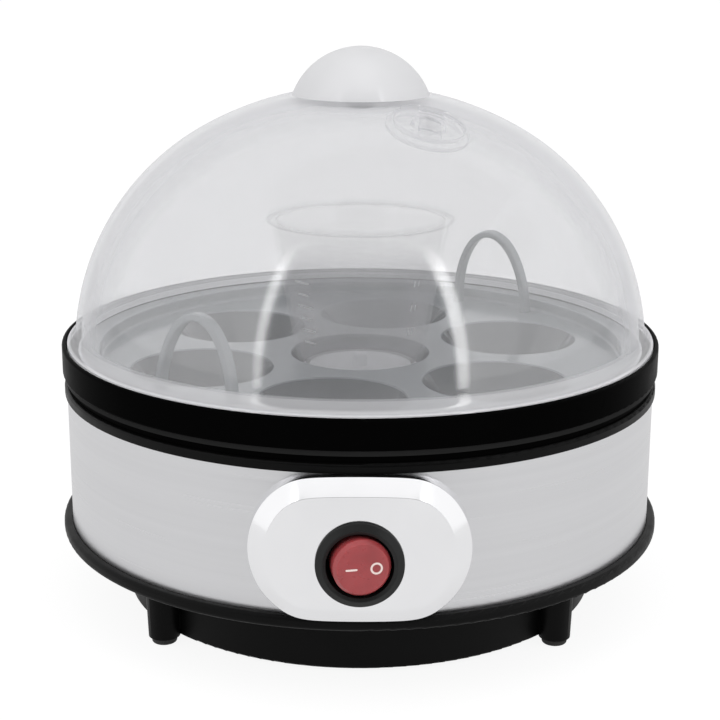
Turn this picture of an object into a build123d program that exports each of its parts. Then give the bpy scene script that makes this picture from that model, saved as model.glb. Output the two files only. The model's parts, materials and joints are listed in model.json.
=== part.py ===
from build123d import *
from math import asin, cos, hypot, radians, sin, sqrt, tan
import os

# Electric egg cooker for seven eggs, in millimetres.
# Z is up, the feet stand on Z = 0, the axis of the round body is Z, and the switch faces -Y.

# Heights of the stack, from the feet up
PAD_H = 2.0
SKIRT_Z = 2.1
FLOOR_Z = 6.0
FLANGE_Z = 21.9
FLANGE_TOP = 25.4
RIB_TOP = 28.4
BAND_Z = 24.4
BAND_TOP = 66.0
COLLAR_Z = 64.7
COLLAR_TOP = 67.3
RING_LIP_Z = 69.3
RING_Z = 70.8
TRAY_LEDGE_Z = 75.6
LID_LEDGE_Z = 77.2
RING_TOP = 79.4

# Radii of the round body
SKIRT_R = 71.0
SKIRT_TOP_R = 71.6
FLANGE_R = 90.5
BAND_R = 87.9
BAND_SHEET = 0.5
SLOT_R = 88.1
WALL_R = 87.2
WALL_IN_R = 85.4
COLLAR_R = 88.6
SHELF_IN_R = 80.8
RING_R = 89.0
RING_LIP_R = 88.3
RING_NECK_R = 87.3
RING_BORE_R = 87.8
LID_LEDGE_R = 84.2
TRAY_LEDGE_R = 80.9

# Base cover
COVER_T = 2.2
FLANGE_T = 2.3
FOOT_RING_R = 74.0
FOOT_FROM_FRONT = 49.0
FOOT_R = 4.5
FOOT_TOP_R = 5.2
FOOT_WEB_W = 8.0
PAD_R = 3.6
PAD_STEM_R = 2.0
PAD_STEM_H = 3.0
VENT_COUNT = 12
VENT_SLOT = (16.0, 3.0)
VENT_SLOT_R = 34.0
FLOOR_RIB_R = 54.0
FLOOR_RIB = (1.6, 2.2)

# Housing bosses and the screws that come up through the flange
BOSS_AZIMUTHS = (-15.0, 60.0, 120.0, 195.0)
BOSS_RING_R = 81.8
BOSS_R = 4.0
BOSS_TOP = 48.0
SCREW_R = 1.9
SCREW_HEAD_R = 3.4
SCREW_HEAD_H = 2.0
SCREW_TIP = 36.0
SCREW_ROOM = 2.0
THREAD_PLAY = 0.05

# Heating pan and what hangs below it
PAN_SHEET = 0.9
PAN_FLANGE_R = 85.0
PAN_WALL_R = 80.4
PAN_FLOOR_R = 77.5
PAN_FLOOR_Z = 55.0
PAN_BEND = 4.0
SEAL_R = (81.2, 84.6)
SEAL_TOP = 70.0
SPREADER_R = 56.0
SPREADER_T = 1.6
ELEMENT_RING_R = 43.0
ELEMENT_R = 3.3
ELEMENT_FLAT = 0.3
ELEMENT_GAP = 56.0
ELEMENT_LEG = 6.5
ELEMENT_PIN = (1.5, 7.0)
STAT_CAP = (8.2, 2.0)
STAT_BODY = (7.6, 8.0)
STAT_TAB = (9.0, 6.3, 0.8)
STAT_TAB_IN = 1.0
STAT_TAB_RISE = 1.2
BRACKET = (44.0, 12.0, 1.0)
BRACKET_FOOT = 6.0
BRACKET_EYE = 1.8
BRACKET_SCREW_X = 18.5
BRACKET_SCREW = (2.8, 1.8, 1.5)
FUSE_R = 2.0
FUSE_L = 11.0
FUSE_SLEEVE_R = 3.0
FUSE_SLEEVE_L = 30.0
FUSE_LEAD_R = 0.5
FUSE_LEAD_L = 3.0
FUSE_Y = -27.0
FUSE_STRAP = (1.0, 8.0)
FUSE_LUG = 5.0

# Mains terminal block on the floor, and the wires
BLOCK = (30.0, 11.0, 13.0)
BLOCK_Y = 50.0
BLOCK_FOOT = 3.0
BLOCK_FUNNEL_R = 3.2
BLOCK_FUNNEL = 4.0
WIRE_R = 1.1
WIRE_LANE_X = 58.0

# Switch panel: a bevelled oblong across the full height of the steel band
PANEL_W = 57.7
PANEL_ROUND_H = 40.4
PANEL_Z = (25.5, 64.6)
PANEL_RIM_Y = -90.3
PANEL_FACE_Y = -94.0
PANEL_BEVEL = 4.1
PANEL_T = 1.8
PANEL_BOSS_X = 22.0
PANEL_BOSS_R = 3.0
PANEL_BACK = -16.0
PANEL_SCREW = (3.0, 1.8, 1.45)
PANEL_SCREW_TIP = -4.0
PANEL_WINDOW = (52.0, 29.4)
PANEL_CUT = 30.0

# Round rocker switch for a 20 mm hole
SWITCH_Z = 42.4
SWITCH_HOLE_R = 10.1
BEZEL_R = 11.5
BEZEL_T = 2.0
BARREL_R = 9.9
BARREL_L = 20.0
SWITCH_WELL_R = 8.75
SWITCH_WELL_L = 12.0
SNAP_WING = (1.5, 6.0, 4.0)
ROCKER_R = 7.6
ROCKER_FACE = 4.0
ROCKER_BACK = -5.0
ROCKER_DRUM_R = 8.55
ROCKER_WALL = 1.8
ROCKER_TILT = 12.0
PIVOT_Z = -0.5
PIVOT_R = 1.2
PIVOT_PLAY = 0.05
PIVOT_L = 9.6
LAMP_R = 1.9
LAMP_L = 6.0
TAB = (4.8, 0.8, 9.0)
TAB_PITCH = 6.0
TAB_EYE_R = 0.8

# Cord gland at the back
GLAND_Z = 36.0
GLAND_END_Y = 97.0
GLAND_FLANGE = (8.0, 2.6)
GLAND_SEAT = -1.5
GLAND_BARREL_R = 6.0
GLAND_NOSE_R = 5.2
GLAND_BORE_R = 3.2
GLAND_IN_Y = 81.0
GLAND_HOLE_R = 6.2
GLAND_CUT = 10.0

# Egg tray
TRAY_TOP = 73.0
TRAY_T = 1.8
TRAY_R = 79.8
TRAY_RIM_R = 83.8
TRAY_RIM_TOP = 76.9
SEAT_R = 21.0
SEAT_LOW_R = 13.5
SEAT_Z = 63.0
SEAT_T = 1.4
SEAT_RING_R = 49.6
SEAT_COUNT = 6
SEAT_FIRST = 21.0
CUP_LEDGE = 1.3
CUP_PLAY = (0.3, 0.4)
HANDLE_AZIMUTHS = (53.0, 233.0)
HANDLE_RING_R = 73.5
HANDLE_HALF_W = 13.2
HANDLE_H = 26.1
HANDLE_T = 2.2
HANDLE_D = 3.6
HANDLE_LEAN = 3.6
HANDLE_TAB = 4.0
HANDLE_PLAY = 0.1
HANDLE_CLINCH = 1.0

# Measuring cup
CUP_Z = 66.4
CUP_R = 15.6
CUP_HIP = (19.15, 72.0)
CUP_HIP_IN = (17.85, 72.35)
CUP_SLOPE = 0.174
CUP_TOP = 115.0
CUP_T = 1.3
CUP_FLOOR_IN_R = 15.55
CUP_FOOT = 1.1
CUP_RIM = 1.4
NUB_R = 2.1
NUB_H = 4.0
PIN_R = 0.75
PIN_TIP = 66.6
PIN_POINT = 2.6

# Lid: a shoulder arc and a crown arc that meet in one tangent
LID_T = 1.7
LID_R = 87.4
LID_LIP_TOP = 79.6
LID_FLARE_TOP = 82.3
FLARE_BEND = (0.5, 0.9)
SHOULDER = (10.8, 75.7)
SHOULDER_R = 74.3
SHOULDER_END = 61.0
KNOB_SEAT_R = 20.6
KNOB_SPHERE_R = 21.4
KNOB_SPHERE_Z = 143.0
KNOB_T = 1.8
KNOB_BOSS_R = 4.4
KNOB_SCREW_TIP = 159.0
KNOB_SCREW_HEAD = (4.0, 2.2)
KNOB_SCREW_PLAY = 0.3
VENT_AT = (19.0, -28.0)
VENT_WELL_R = 10.3
VENT_WELL_DEPTH = 2.4
VENT_HOLE_R = 3.25
VENT_SPOUT = (4.7, 1.8)
VENT_CUT = 12.0

MIN_ALIGN = (Align.CENTER, Align.CENTER, Align.MIN)


def polar(radius, azimuth):
    """Plan position at a radius from the Z axis."""
    return radius * cos(radians(azimuth)), radius * sin(radians(azimuth))


def turned(corners, rounds=None):
    """Solid turned about Z from (radius, height) corners, some of them rounded."""
    rounds = rounds or {}
    radii = [rounds.get(i, 0) for i in range(len(corners))]
    outline = FilletPolyline(*corners, radius=radii, close=True)
    return revolve(Plane.XZ * make_face(outline), Axis.Z)


def tube(outer, inner, low, high):
    """Plain ring about Z."""
    return turned([(inner, low), (outer, low), (outer, high), (inner, high)])


def post(x, y, low, high, radius):
    """Upright cylinder."""
    return Pos(x, y, low) * Cylinder(radius, high - low, align=MIN_ALIGN)


def group(solids):
    """Separate solids kept together in one node."""
    return Compound(children=list(solids))


# The switch and panel are drawn on the panel's face: x right, y up, z outwards to the front.
FACE = Plane((0, PANEL_FACE_Y, SWITCH_Z), x_dir=(1, 0, 0), z_dir=(0, -1, 0))
# The gland is drawn on the back of the band: z outwards to the rear.
REAR = Plane((0, BAND_R, GLAND_Z), x_dir=(-1, 0, 0), z_dir=(0, 1, 0))
FOOT_AZIMUTHS = {
    "front_left": 270 - FOOT_FROM_FRONT,
    "front_right": 270 + FOOT_FROM_FRONT,
    "rear_right": 90 - FOOT_FROM_FRONT,
    "rear_left": 90 + FOOT_FROM_FRONT,
}


def base_cover():
    """Moulded bottom: floor, skirt, wide flange, four foot posts and cooling slots."""
    floor_top = FLOOR_Z + COVER_T
    flange_in = FLANGE_Z + FLANGE_T
    corners = [
        (0, FLOOR_Z),
        (SKIRT_R - COVER_T, FLOOR_Z),
        (SKIRT_R - COVER_T, SKIRT_Z),
        (SKIRT_R, SKIRT_Z),
        (SKIRT_TOP_R, FLANGE_Z),
        (FLANGE_R, FLANGE_Z),
        (FLANGE_R, FLANGE_TOP),
        (SLOT_R, FLANGE_TOP),
        (SLOT_R, BAND_Z),
        (WALL_R, BAND_Z),
        (WALL_R, RIB_TOP),
        (WALL_IN_R, RIB_TOP),
        (WALL_IN_R, flange_in),
        (SKIRT_TOP_R - COVER_T, flange_in),
        (SKIRT_R - COVER_T, floor_top),
        (0, floor_top),
    ]
    cover = turned(corners, {3: 0.7, 5: 1.3, 6: 1.1, 13: 1.0})
    rib_w, rib_h = FLOOR_RIB
    cover += tube(FLOOR_RIB_R + rib_w, FLOOR_RIB_R, FLOOR_Z - rib_h, FLOOR_Z)
    for azimuth in FOOT_AZIMUTHS.values():
        foot_h = FLANGE_Z - PAD_H
        foot = Pos(FOOT_RING_R, 0, PAD_H) * Cone(FOOT_R, FOOT_TOP_R, foot_h, align=MIN_ALIGN)
        web_l = FOOT_RING_R - SKIRT_R + COVER_T / 2
        web = Pos(FOOT_RING_R - web_l / 2, 0, PAD_H + COVER_T)
        foot += web * Box(web_l, FOOT_WEB_W, foot_h - COVER_T, align=MIN_ALIGN)
        foot -= post(FOOT_RING_R, 0, PAD_H, PAD_H + PAD_STEM_H, PAD_STEM_R)
        cover += Rot(0, 0, azimuth) * foot
    for azimuth in BOSS_AZIMUTHS:
        cover -= post(*polar(BOSS_RING_R, azimuth), FLANGE_Z, flange_in, SCREW_R + THREAD_PLAY)
    slot = extrude(SlotOverall(*VENT_SLOT), amount=COVER_T)
    for i in range(VENT_COUNT):
        turn = Rot(0, 0, (i + 0.5) * 360 / VENT_COUNT)
        cover -= turn * Pos(VENT_SLOT_R, 0, FLOOR_Z) * slot
    return cover


def foot_pad(azimuth):
    """Rubber pad with a stem pushed into the foot post."""
    stem_top = PAD_H + PAD_STEM_H
    corners = [
        (0, 0),
        (PAD_R, 0),
        (PAD_R, PAD_H),
        (PAD_STEM_R, PAD_H),
        (PAD_STEM_R, stem_top),
        (0, stem_top),
    ]
    return Pos(*polar(FOOT_RING_R, azimuth)) * turned(corners, {1: 0.7})


def screw(x, y, seat, tip, head_r, head_h, shank_r):
    """Pan-head screw driven upwards, its head under the seat."""
    corners = [
        (0, seat - head_h),
        (head_r, seat - head_h),
        (head_r, seat),
        (shank_r, seat),
        (shank_r, tip - shank_r),
        (0, tip),
    ]
    return Pos(x, y) * turned(corners, {1: head_h * 0.6})


def base_screws():
    """Four screws through the flange into the housing bosses."""
    return group(
        screw(*polar(BOSS_RING_R, a), FLANGE_Z, SCREW_TIP, SCREW_HEAD_R, SCREW_HEAD_H, SCREW_R)
        for a in BOSS_AZIMUTHS
    )


def panel_window():
    """Opening through band and housing behind the switch panel."""
    centre_z = sum(PANEL_Z) / 2 - SWITCH_Z
    return FACE * Pos(0, centre_z, -PANEL_CUT) * extrude(SlotOverall(*PANEL_WINDOW), amount=PANEL_CUT)


def gland_hole():
    """Round opening through band and housing for the cord gland."""
    return REAR * Cylinder(GLAND_HOLE_R, GLAND_CUT)


def steel_band():
    """Brushed steel sheet rolled round the housing."""
    band = tube(BAND_R, BAND_R - BAND_SHEET, BAND_Z, BAND_TOP)
    return band - panel_window() - gland_hole()


def body_housing():
    """Plastic wall behind the band, with the collar on top, the pan shelf and four bosses."""
    wall_top = COLLAR_Z - COVER_T
    corners = [
        (WALL_IN_R, RIB_TOP),
        (WALL_R, RIB_TOP),
        (WALL_R, BAND_TOP),
        (SLOT_R, BAND_TOP),
        (SLOT_R, COLLAR_Z),
        (COLLAR_R, COLLAR_Z),
        (COLLAR_R, COLLAR_TOP),
        (SHELF_IN_R, COLLAR_TOP),
        (SHELF_IN_R, COLLAR_TOP - COVER_T),
        (WALL_IN_R, wall_top),
    ]
    housing = turned(corners, {6: 0.8})
    for azimuth in BOSS_AZIMUTHS:
        x, y = polar(BOSS_RING_R, azimuth)
        housing += post(x, y, FLANGE_Z + FLANGE_T, BOSS_TOP, BOSS_R)
        # The boss stops at the inner wall, which the base's locating rib continues below.
        housing -= tube(FLANGE_R, WALL_IN_R, FLANGE_Z, RIB_TOP)
        housing -= post(x, y, FLANGE_Z, SCREW_TIP + SCREW_ROOM, SCREW_R + THREAD_PLAY)
    switch_hole = FACE * Cylinder(BEZEL_R, 2 * PANEL_CUT)
    screw_holes = group(
        FACE * Pos(x, sum(PANEL_Z) / 2 - SWITCH_Z) * Cylinder(SCREW_R, 2 * PANEL_CUT)
        for x in (-PANEL_BOSS_X, PANEL_BOSS_X)
    )
    return housing - switch_hole - screw_holes - gland_hole()


def upper_ring():
    """Gloss ring on the collar: shadow groove, upright wall, and ledges for lid and tray."""
    corners = [
        (WALL_IN_R, COLLAR_TOP),
        (RING_NECK_R, COLLAR_TOP),
        (RING_NECK_R, RING_LIP_Z),
        (RING_LIP_R, RING_LIP_Z),
        (RING_LIP_R, RING_Z),
        (RING_R, RING_Z),
        (RING_R, RING_TOP),
        (RING_BORE_R, RING_TOP),
        (RING_BORE_R, LID_LEDGE_Z),
        (LID_LEDGE_R, LID_LEDGE_Z),
        (LID_LEDGE_R, TRAY_LEDGE_Z),
        (TRAY_LEDGE_R, TRAY_LEDGE_Z),
        (TRAY_LEDGE_R, SEAL_TOP),
        (WALL_IN_R, SEAL_TOP),
    ]
    return turned(corners, {5: 0.5, 6: 0.7, 7: 0.4, 11: 0.6})


def heating_pan():
    """Pressed dish that holds the water, hung by its flange on the housing shelf."""
    low, top = PAN_FLOOR_Z, COLLAR_TOP
    corners = [
        (0, low),
        (PAN_FLOOR_R, low),
        (PAN_WALL_R, top),
        (PAN_FLANGE_R, top),
        (PAN_FLANGE_R, top + PAN_SHEET),
        (PAN_WALL_R - PAN_SHEET, top + PAN_SHEET),
        (PAN_FLOOR_R - PAN_SHEET, low + PAN_SHEET),
        (0, low + PAN_SHEET),
    ]
    return turned(corners, {1: PAN_BEND + PAN_SHEET, 5: 0.8, 6: PAN_BEND})


def pan_seal():
    """Silicone ring between pan flange and upper ring."""
    low = COLLAR_TOP + PAN_SHEET
    inner, outer = SEAL_R
    return turned([(inner, low), (outer, low), (outer, SEAL_TOP), (inner, SEAL_TOP)], {1: 0.3, 2: 0.3})


def heat_spreader():
    """Aluminium disc under the pan, tapped for the thermostat bracket."""
    low = PAN_FLOOR_Z - SPREADER_T
    disc = turned([(0, low), (SPREADER_R, low), (SPREADER_R, PAN_FLOOR_Z), (0, PAN_FLOOR_Z)], {1: 0.5})
    for x in (-BRACKET_SCREW_X, BRACKET_SCREW_X):
        disc -= post(x, 0, low, PAN_FLOOR_Z, BRACKET_SCREW[2] + THREAD_PLAY)
    return disc


def heating_element():
    """C-shaped heater tube, flattened against the spreader, with two cold legs at the back."""
    low = PAN_FLOOR_Z - SPREADER_T
    centre_z = low - ELEMENT_R + ELEMENT_FLAT
    section = Plane.XZ * Pos(ELEMENT_RING_R, centre_z) * Circle(ELEMENT_R)
    start = 90 + ELEMENT_GAP / 2
    element = Rot(0, 0, start) * revolve(section, Axis.Z, 360 - ELEMENT_GAP)
    pin_r, pin_l = ELEMENT_PIN
    for azimuth in (start, start - ELEMENT_GAP):
        x, y = polar(ELEMENT_RING_R, azimuth)
        leg_low = centre_z - ELEMENT_LEG
        element += Pos(x, y, centre_z) * Sphere(ELEMENT_R)
        element += post(x, y, leg_low, centre_z, ELEMENT_R)
        element += post(x, y, leg_low - pin_l, leg_low, pin_r)
    return element - post(0, 0, low, low + ELEMENT_R, SPREADER_R)


def thermostat():
    """Snap-disc thermostat: metal cap, moulded body and two flat tabs."""
    top = PAN_FLOOR_Z - SPREADER_T
    cap_r, cap_h = STAT_CAP
    body_r, body_h = STAT_BODY
    tab_l, tab_w, tab_t = STAT_TAB
    body_low = top - cap_h - body_h
    stat = post(0, 0, top - cap_h, top, cap_r) + post(0, 0, body_low, top - cap_h, body_r)
    for side in (-1, 1):
        tab = Pos(0, side * (body_r + tab_l / 2 - STAT_TAB_IN), body_low + STAT_TAB_RISE)
        stat += tab * Box(tab_w, tab_l, tab_t)
    return stat


def thermostat_bracket():
    """Folded steel strip that clamps the thermostat to the spreader."""
    length, width, sheet = BRACKET
    top = PAN_FLOOR_Z - SPREADER_T
    low = top - STAT_CAP[1] - sheet
    bracket = Pos(0, 0, low) * Box(length, width, sheet, align=MIN_ALIGN)
    bracket += post(0, 0, low, low + sheet, STAT_CAP[0] + BRACKET_EYE)
    for side in (-1, 1):
        foot = Pos(side * (length - BRACKET_FOOT) / 2, 0, low)
        bracket += foot * Box(BRACKET_FOOT + 2, width, top - low, align=MIN_ALIGN)
        bracket -= post(side * BRACKET_SCREW_X, 0, low, top, BRACKET_SCREW[2] + THREAD_PLAY)
    return bracket - post(0, 0, low, low + sheet, STAT_BODY[0] + 0.1)


def bracket_screws():
    """Two screws up through the bracket's feet into the spreader."""
    low = PAN_FLOOR_Z - SPREADER_T - STAT_CAP[1] - BRACKET[2]
    tip = PAN_FLOOR_Z - 0.1
    return group(screw(x, 0, low, tip, *BRACKET_SCREW) for x in (-BRACKET_SCREW_X, BRACKET_SCREW_X))


def fuse_centre_z():
    """Height of the thermal fuse, its sleeve touching the spreader."""
    return PAN_FLOOR_Z - SPREADER_T - FUSE_SLEEVE_R


def thermal_fuse():
    """One-shot cut-out: capsule with a lead wire at each end."""
    lead_l = FUSE_SLEEVE_L + 2 * FUSE_LEAD_L
    capsule = Cylinder(FUSE_R, FUSE_L)
    capsule = fillet(capsule.edges(), 0.6) + Cylinder(FUSE_LEAD_R, lead_l)
    return Pos(0, FUSE_Y, fuse_centre_z()) * Rot(0, 90, 0) * capsule


def fuse_sleeve():
    """Woven sleeve drawn over the fuse."""
    sleeve = Rot(0, 90, 0) * (Cylinder(FUSE_SLEEVE_R, FUSE_SLEEVE_L) - Cylinder(FUSE_R, FUSE_SLEEVE_L))
    return Pos(0, FUSE_Y, fuse_centre_z()) * sleeve


def fuse_strap():
    """Thin steel strap bent over the sleeve and spot-welded to the spreader."""
    sheet, width = FUSE_STRAP
    top = PAN_FLOOR_Z - SPREADER_T
    reach = FUSE_SLEEVE_R + sheet
    hoop = Rot(0, 90, 0) * (Cylinder(reach, width) - Cylinder(FUSE_SLEEVE_R, width))
    hoop = Pos(0, FUSE_Y, fuse_centre_z()) * hoop
    walls = Pos(0, FUSE_Y, fuse_centre_z()) * Box(width, 2 * reach, FUSE_SLEEVE_R, align=MIN_ALIGN)
    walls -= Pos(0, FUSE_Y, fuse_centre_z()) * Box(width, 2 * FUSE_SLEEVE_R, FUSE_SLEEVE_R, align=MIN_ALIGN)
    lugs = Pos(0, FUSE_Y, top - sheet) * Box(width, 2 * (reach + FUSE_LUG), sheet, align=MIN_ALIGN)
    lugs -= Pos(0, FUSE_Y, top - sheet) * Box(width, 2 * FUSE_SLEEVE_R, sheet, align=MIN_ALIGN)
    lower = Pos(0, FUSE_Y, fuse_centre_z()) * Box(width, 4 * reach, reach, align=MIN_ALIGN)
    return (hoop - lower) + walls + lugs


def terminal_block():
    """Two-way mains terminal block standing on the floor."""
    length, depth, height = BLOCK
    floor_top = FLOOR_Z + COVER_T
    block = Pos(0, BLOCK_Y, floor_top) * Box(length, depth, BLOCK_FOOT, align=MIN_ALIGN)
    for side in (-1, 1):
        x = side * length / 4
        block += post(x, BLOCK_Y, floor_top, floor_top + height, depth / 2)
        block -= post(x, BLOCK_Y, floor_top + height - BLOCK_FUNNEL, floor_top + height, BLOCK_FUNNEL_R)
    return block


def wire(points, bends):
    """Insulated lead along straight runs joined by tangent arcs."""
    path = FilletPolyline(*points, radius=bends)
    section = Plane(origin=path @ 0, z_dir=path % 0) * Circle(WIRE_R)
    return sweep(section, path=path)


def wires():
    """Leads from block to switch, switch to thermostat, thermostat to fuse, and both element legs."""
    floor_top = FLOOR_Z + COVER_T
    block_x = BLOCK[0] / 4
    block_in = floor_top + BLOCK[2] - BLOCK_FUNNEL
    tab_y = PANEL_FACE_Y + BARREL_L + TAB[2]
    stat_z = PAN_FLOOR_Z - SPREADER_T - STAT_CAP[1] - STAT_BODY[1] + STAT_TAB_RISE
    stat_y = STAT_BODY[0] + STAT_TAB[0] - STAT_TAB_IN
    fuse_x = FUSE_SLEEVE_L / 2 + FUSE_LEAD_L
    pin_low = PAN_FLOOR_Z - SPREADER_T - ELEMENT_R + ELEMENT_FLAT - ELEMENT_LEG - ELEMENT_PIN[1]
    left = polar(ELEMENT_RING_R, 90 + ELEMENT_GAP / 2)
    right = polar(ELEMENT_RING_R, 90 - ELEMENT_GAP / 2)
    live = [
        (-block_x, BLOCK_Y, block_in),
        (-block_x, BLOCK_Y, block_in + 14),
        (-WIRE_LANE_X, 10, block_in + 8),
        (6 - WIRE_LANE_X, -30, block_in + 10),
        (-TAB_PITCH, tab_y + 14, SWITCH_Z),
        (-TAB_PITCH, tab_y, SWITCH_Z),
    ]
    switched = [
        (TAB_PITCH, tab_y, SWITCH_Z),
        (TAB_PITCH, tab_y + 16, SWITCH_Z),
        (10, -34, SWITCH_Z - 8),
        (0, -stat_y - 9, stat_z),
        (0, -stat_y, stat_z),
    ]
    fused = [
        (0, stat_y, stat_z),
        (0, stat_y + 9, stat_z),
        (28, 20, stat_z - 7),
        (34, -16, stat_z - 4),
        (fuse_x + 9, FUSE_Y, fuse_centre_z()),
        (fuse_x, FUSE_Y, fuse_centre_z()),
    ]
    to_element = [
        (-fuse_x, FUSE_Y, fuse_centre_z()),
        (-fuse_x - 9, FUSE_Y, fuse_centre_z()),
        (-34, -4, pin_low - 6),
        (left[0], left[1], pin_low - 12),
        (left[0], left[1], pin_low),
    ]
    neutral = [
        (block_x, BLOCK_Y, block_in),
        (block_x, BLOCK_Y, block_in + 12),
        (right[0], right[1], pin_low - 9),
        (right[0], right[1], pin_low),
    ]
    return {
        "wire_live": wire(live, [6, 18, 14, 8]),
        "wire_switched": wire(switched, [6, 8, 5]),
        "wire_to_fuse": wire(fused, [5, 12, 12, 5]),
        "wire_to_element": wire(to_element, [5, 10, 8]),
        "wire_neutral": wire(neutral, [4, 4]),
    }


def panel_outline(inset):
    """Oblong with round ends, trimmed level at top and bottom."""
    height = PANEL_Z[1] - PANEL_Z[0]
    oblong = SlotOverall(PANEL_W - 2 * inset, PANEL_ROUND_H - 2 * inset)
    return oblong & Rectangle(PANEL_W, height - 2 * inset)


def switch_panel():
    """Bevelled plated shell, scribed to the band behind, with a hole for the switch."""
    centre = FACE * Pos(0, sum(PANEL_Z) / 2 - SWITCH_Z, 0)
    rim = PANEL_FACE_Y - PANEL_RIM_Y
    shell = extrude(Pos(0, 0, PANEL_BACK) * panel_outline(0), amount=rim - PANEL_BACK)
    shell += loft([Pos(0, 0, rim) * panel_outline(0), panel_outline(PANEL_BEVEL)])
    hollow_l = rim - PANEL_BACK - PANEL_T / 2
    hollow = extrude(Pos(0, 0, PANEL_BACK) * panel_outline(PANEL_T), amount=hollow_l)
    hollow += loft(
        [
            Pos(0, 0, rim - PANEL_T / 2) * panel_outline(PANEL_T),
            Pos(0, 0, -PANEL_T) * panel_outline(PANEL_BEVEL + PANEL_T / 2),
        ]
    )
    shell -= hollow
    panel = centre * shell
    for x in (-PANEL_BOSS_X, PANEL_BOSS_X):
        boss_l = PANEL_BOSS_R * 2 + 3
        boss = Pos(x, 0, -PANEL_T - boss_l) * Cylinder(PANEL_BOSS_R, boss_l + 0.5, align=MIN_ALIGN)
        panel += centre * boss
    panel -= post(0, 0, 0, RING_TOP, BAND_R)
    for x in (-PANEL_BOSS_X, PANEL_BOSS_X):
        panel -= centre * post(x, 0, PANEL_BACK, PANEL_SCREW_TIP + 1, PANEL_SCREW[2] + THREAD_PLAY)
    return panel - FACE * Cylinder(SWITCH_HOLE_R, 2 * BARREL_L)


def panel_screws():
    """Two screws from inside the housing into the panel's bosses."""
    inside = sqrt(WALL_IN_R**2 - (PANEL_BOSS_X + SCREW_HEAD_R) ** 2)
    seat = -PANEL_FACE_Y - inside
    centre = FACE * Pos(0, sum(PANEL_Z) / 2 - SWITCH_Z, 0)
    places = (-PANEL_BOSS_X, PANEL_BOSS_X)
    return group(centre * screw(x, 0, -seat, PANEL_SCREW_TIP, *PANEL_SCREW) for x in places)


def switch_body():
    """Round switch housing: coned bezel, barrel with snap wings, well and pivot holes."""
    corners = [
        (0, -BARREL_L),
        (BARREL_R, -BARREL_L),
        (BARREL_R, 0),
        (BEZEL_R, 0),
        (BEZEL_R, BEZEL_T * 0.45),
        (SWITCH_WELL_R + 0.9, BEZEL_T),
        (SWITCH_WELL_R, BEZEL_T - 0.4),
        (SWITCH_WELL_R, -SWITCH_WELL_L),
        (0, -SWITCH_WELL_L),
    ]
    body = turned(corners, {1: 1.0, 4: 0.5, 5: 0.4})
    wing_out, wing_l, wing_w = SNAP_WING
    wing = make_face(Polyline((0, 0), (wing_out, 0), (0, -wing_l), close=True))
    for side in (0, 180):
        blade = Plane.XZ * wing
        place = Rot(0, 0, side) * Pos(BARREL_R - 0.2, wing_w / 2, -PANEL_T - 0.3)
        body += place * extrude(blade, amount=wing_w)
    body -= Pos(0, 0, PIVOT_Z) * Rot(90, 0, 0) * Cylinder(PIVOT_R + PIVOT_PLAY, 2 * (PIVOT_L + 0.1))
    return FACE * body


def switch_terminals():
    """Three brass tabs in the back of the switch."""
    width, sheet, length = TAB
    tab = Box(sheet, width, length, align=(Align.CENTER, Align.CENTER, Align.MAX))
    tab -= Pos(0, 0, -length * 0.7) * Rot(0, 90, 0) * Cylinder(TAB_EYE_R, 2 * width)
    return group(FACE * Pos(x, 0, -BARREL_L) * tab for x in (-TAB_PITCH, 0, TAB_PITCH))


def tilted():
    """Frame of the rocker at rest: pressed on the right, its left side standing out."""
    return FACE * Pos(0, 0, PIVOT_Z) * Rot(0, ROCKER_TILT, 0)


def rocker():
    """Red rocker: hollow round cap on two pivot pins."""
    corners = [(0, ROCKER_BACK), (ROCKER_R, ROCKER_BACK), (ROCKER_R, ROCKER_FACE), (0, ROCKER_FACE)]
    cap = turned(corners, {2: 0.8})
    cap = cap & Rot(90, 0, 0) * Cylinder(ROCKER_DRUM_R, 4 * ROCKER_R)
    cap += Rot(90, 0, 0) * Cylinder(PIVOT_R, 2 * PIVOT_L)
    cap -= post(0, 0, ROCKER_BACK, ROCKER_FACE - ROCKER_WALL, ROCKER_R - ROCKER_WALL)
    return tilted() * cap


def neon_lamp():
    """Glow lamp stuck to the inside of the rocker."""
    top = ROCKER_FACE - ROCKER_WALL
    lamp = turned([(0, top - LAMP_L), (LAMP_R, top - LAMP_L), (LAMP_R, top), (0, top)], {1: 1.2})
    return tilted() * lamp


def cord_gland():
    """Bush in the back of the housing, with the bore for the mains lead."""
    flange_r, flange_t = GLAND_FLANGE
    end = GLAND_END_Y - BAND_R
    inner = GLAND_IN_Y - BAND_R
    corners = [
        (GLAND_BORE_R, inner),
        (GLAND_BARREL_R, inner),
        (GLAND_BARREL_R, GLAND_SEAT),
        (flange_r, GLAND_SEAT),
        (flange_r, flange_t),
        (GLAND_BARREL_R, flange_t),
        (GLAND_NOSE_R, end),
        (GLAND_BORE_R, end),
    ]
    flange = REAR * turned(corners, {4: 0.8, 6: 0.6})
    skin = tube(BAND_R, WALL_IN_R, GLAND_Z - 2 * flange_r, GLAND_Z + 2 * flange_r)
    return flange - (skin - gland_hole())


def seat_places():
    """Plan positions of the seven egg seats."""
    ring = [polar(SEAT_RING_R, SEAT_FIRST + i * 360 / SEAT_COUNT) for i in range(SEAT_COUNT)]
    return [(0, 0)] + ring


def handle_frame(azimuth):
    """Frame of a handle: x along the strap's span, y up with a lean to the axis, z outwards."""
    x, y = polar(HANDLE_RING_R, azimuth)
    outward = (*polar(1.0, azimuth), 0)
    upright = Plane((x, y, TRAY_TOP), x_dir=(-outward[1], outward[0], 0), z_dir=outward)
    return upright.location * Rot(-HANDLE_LEAN, 0, 0)


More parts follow.
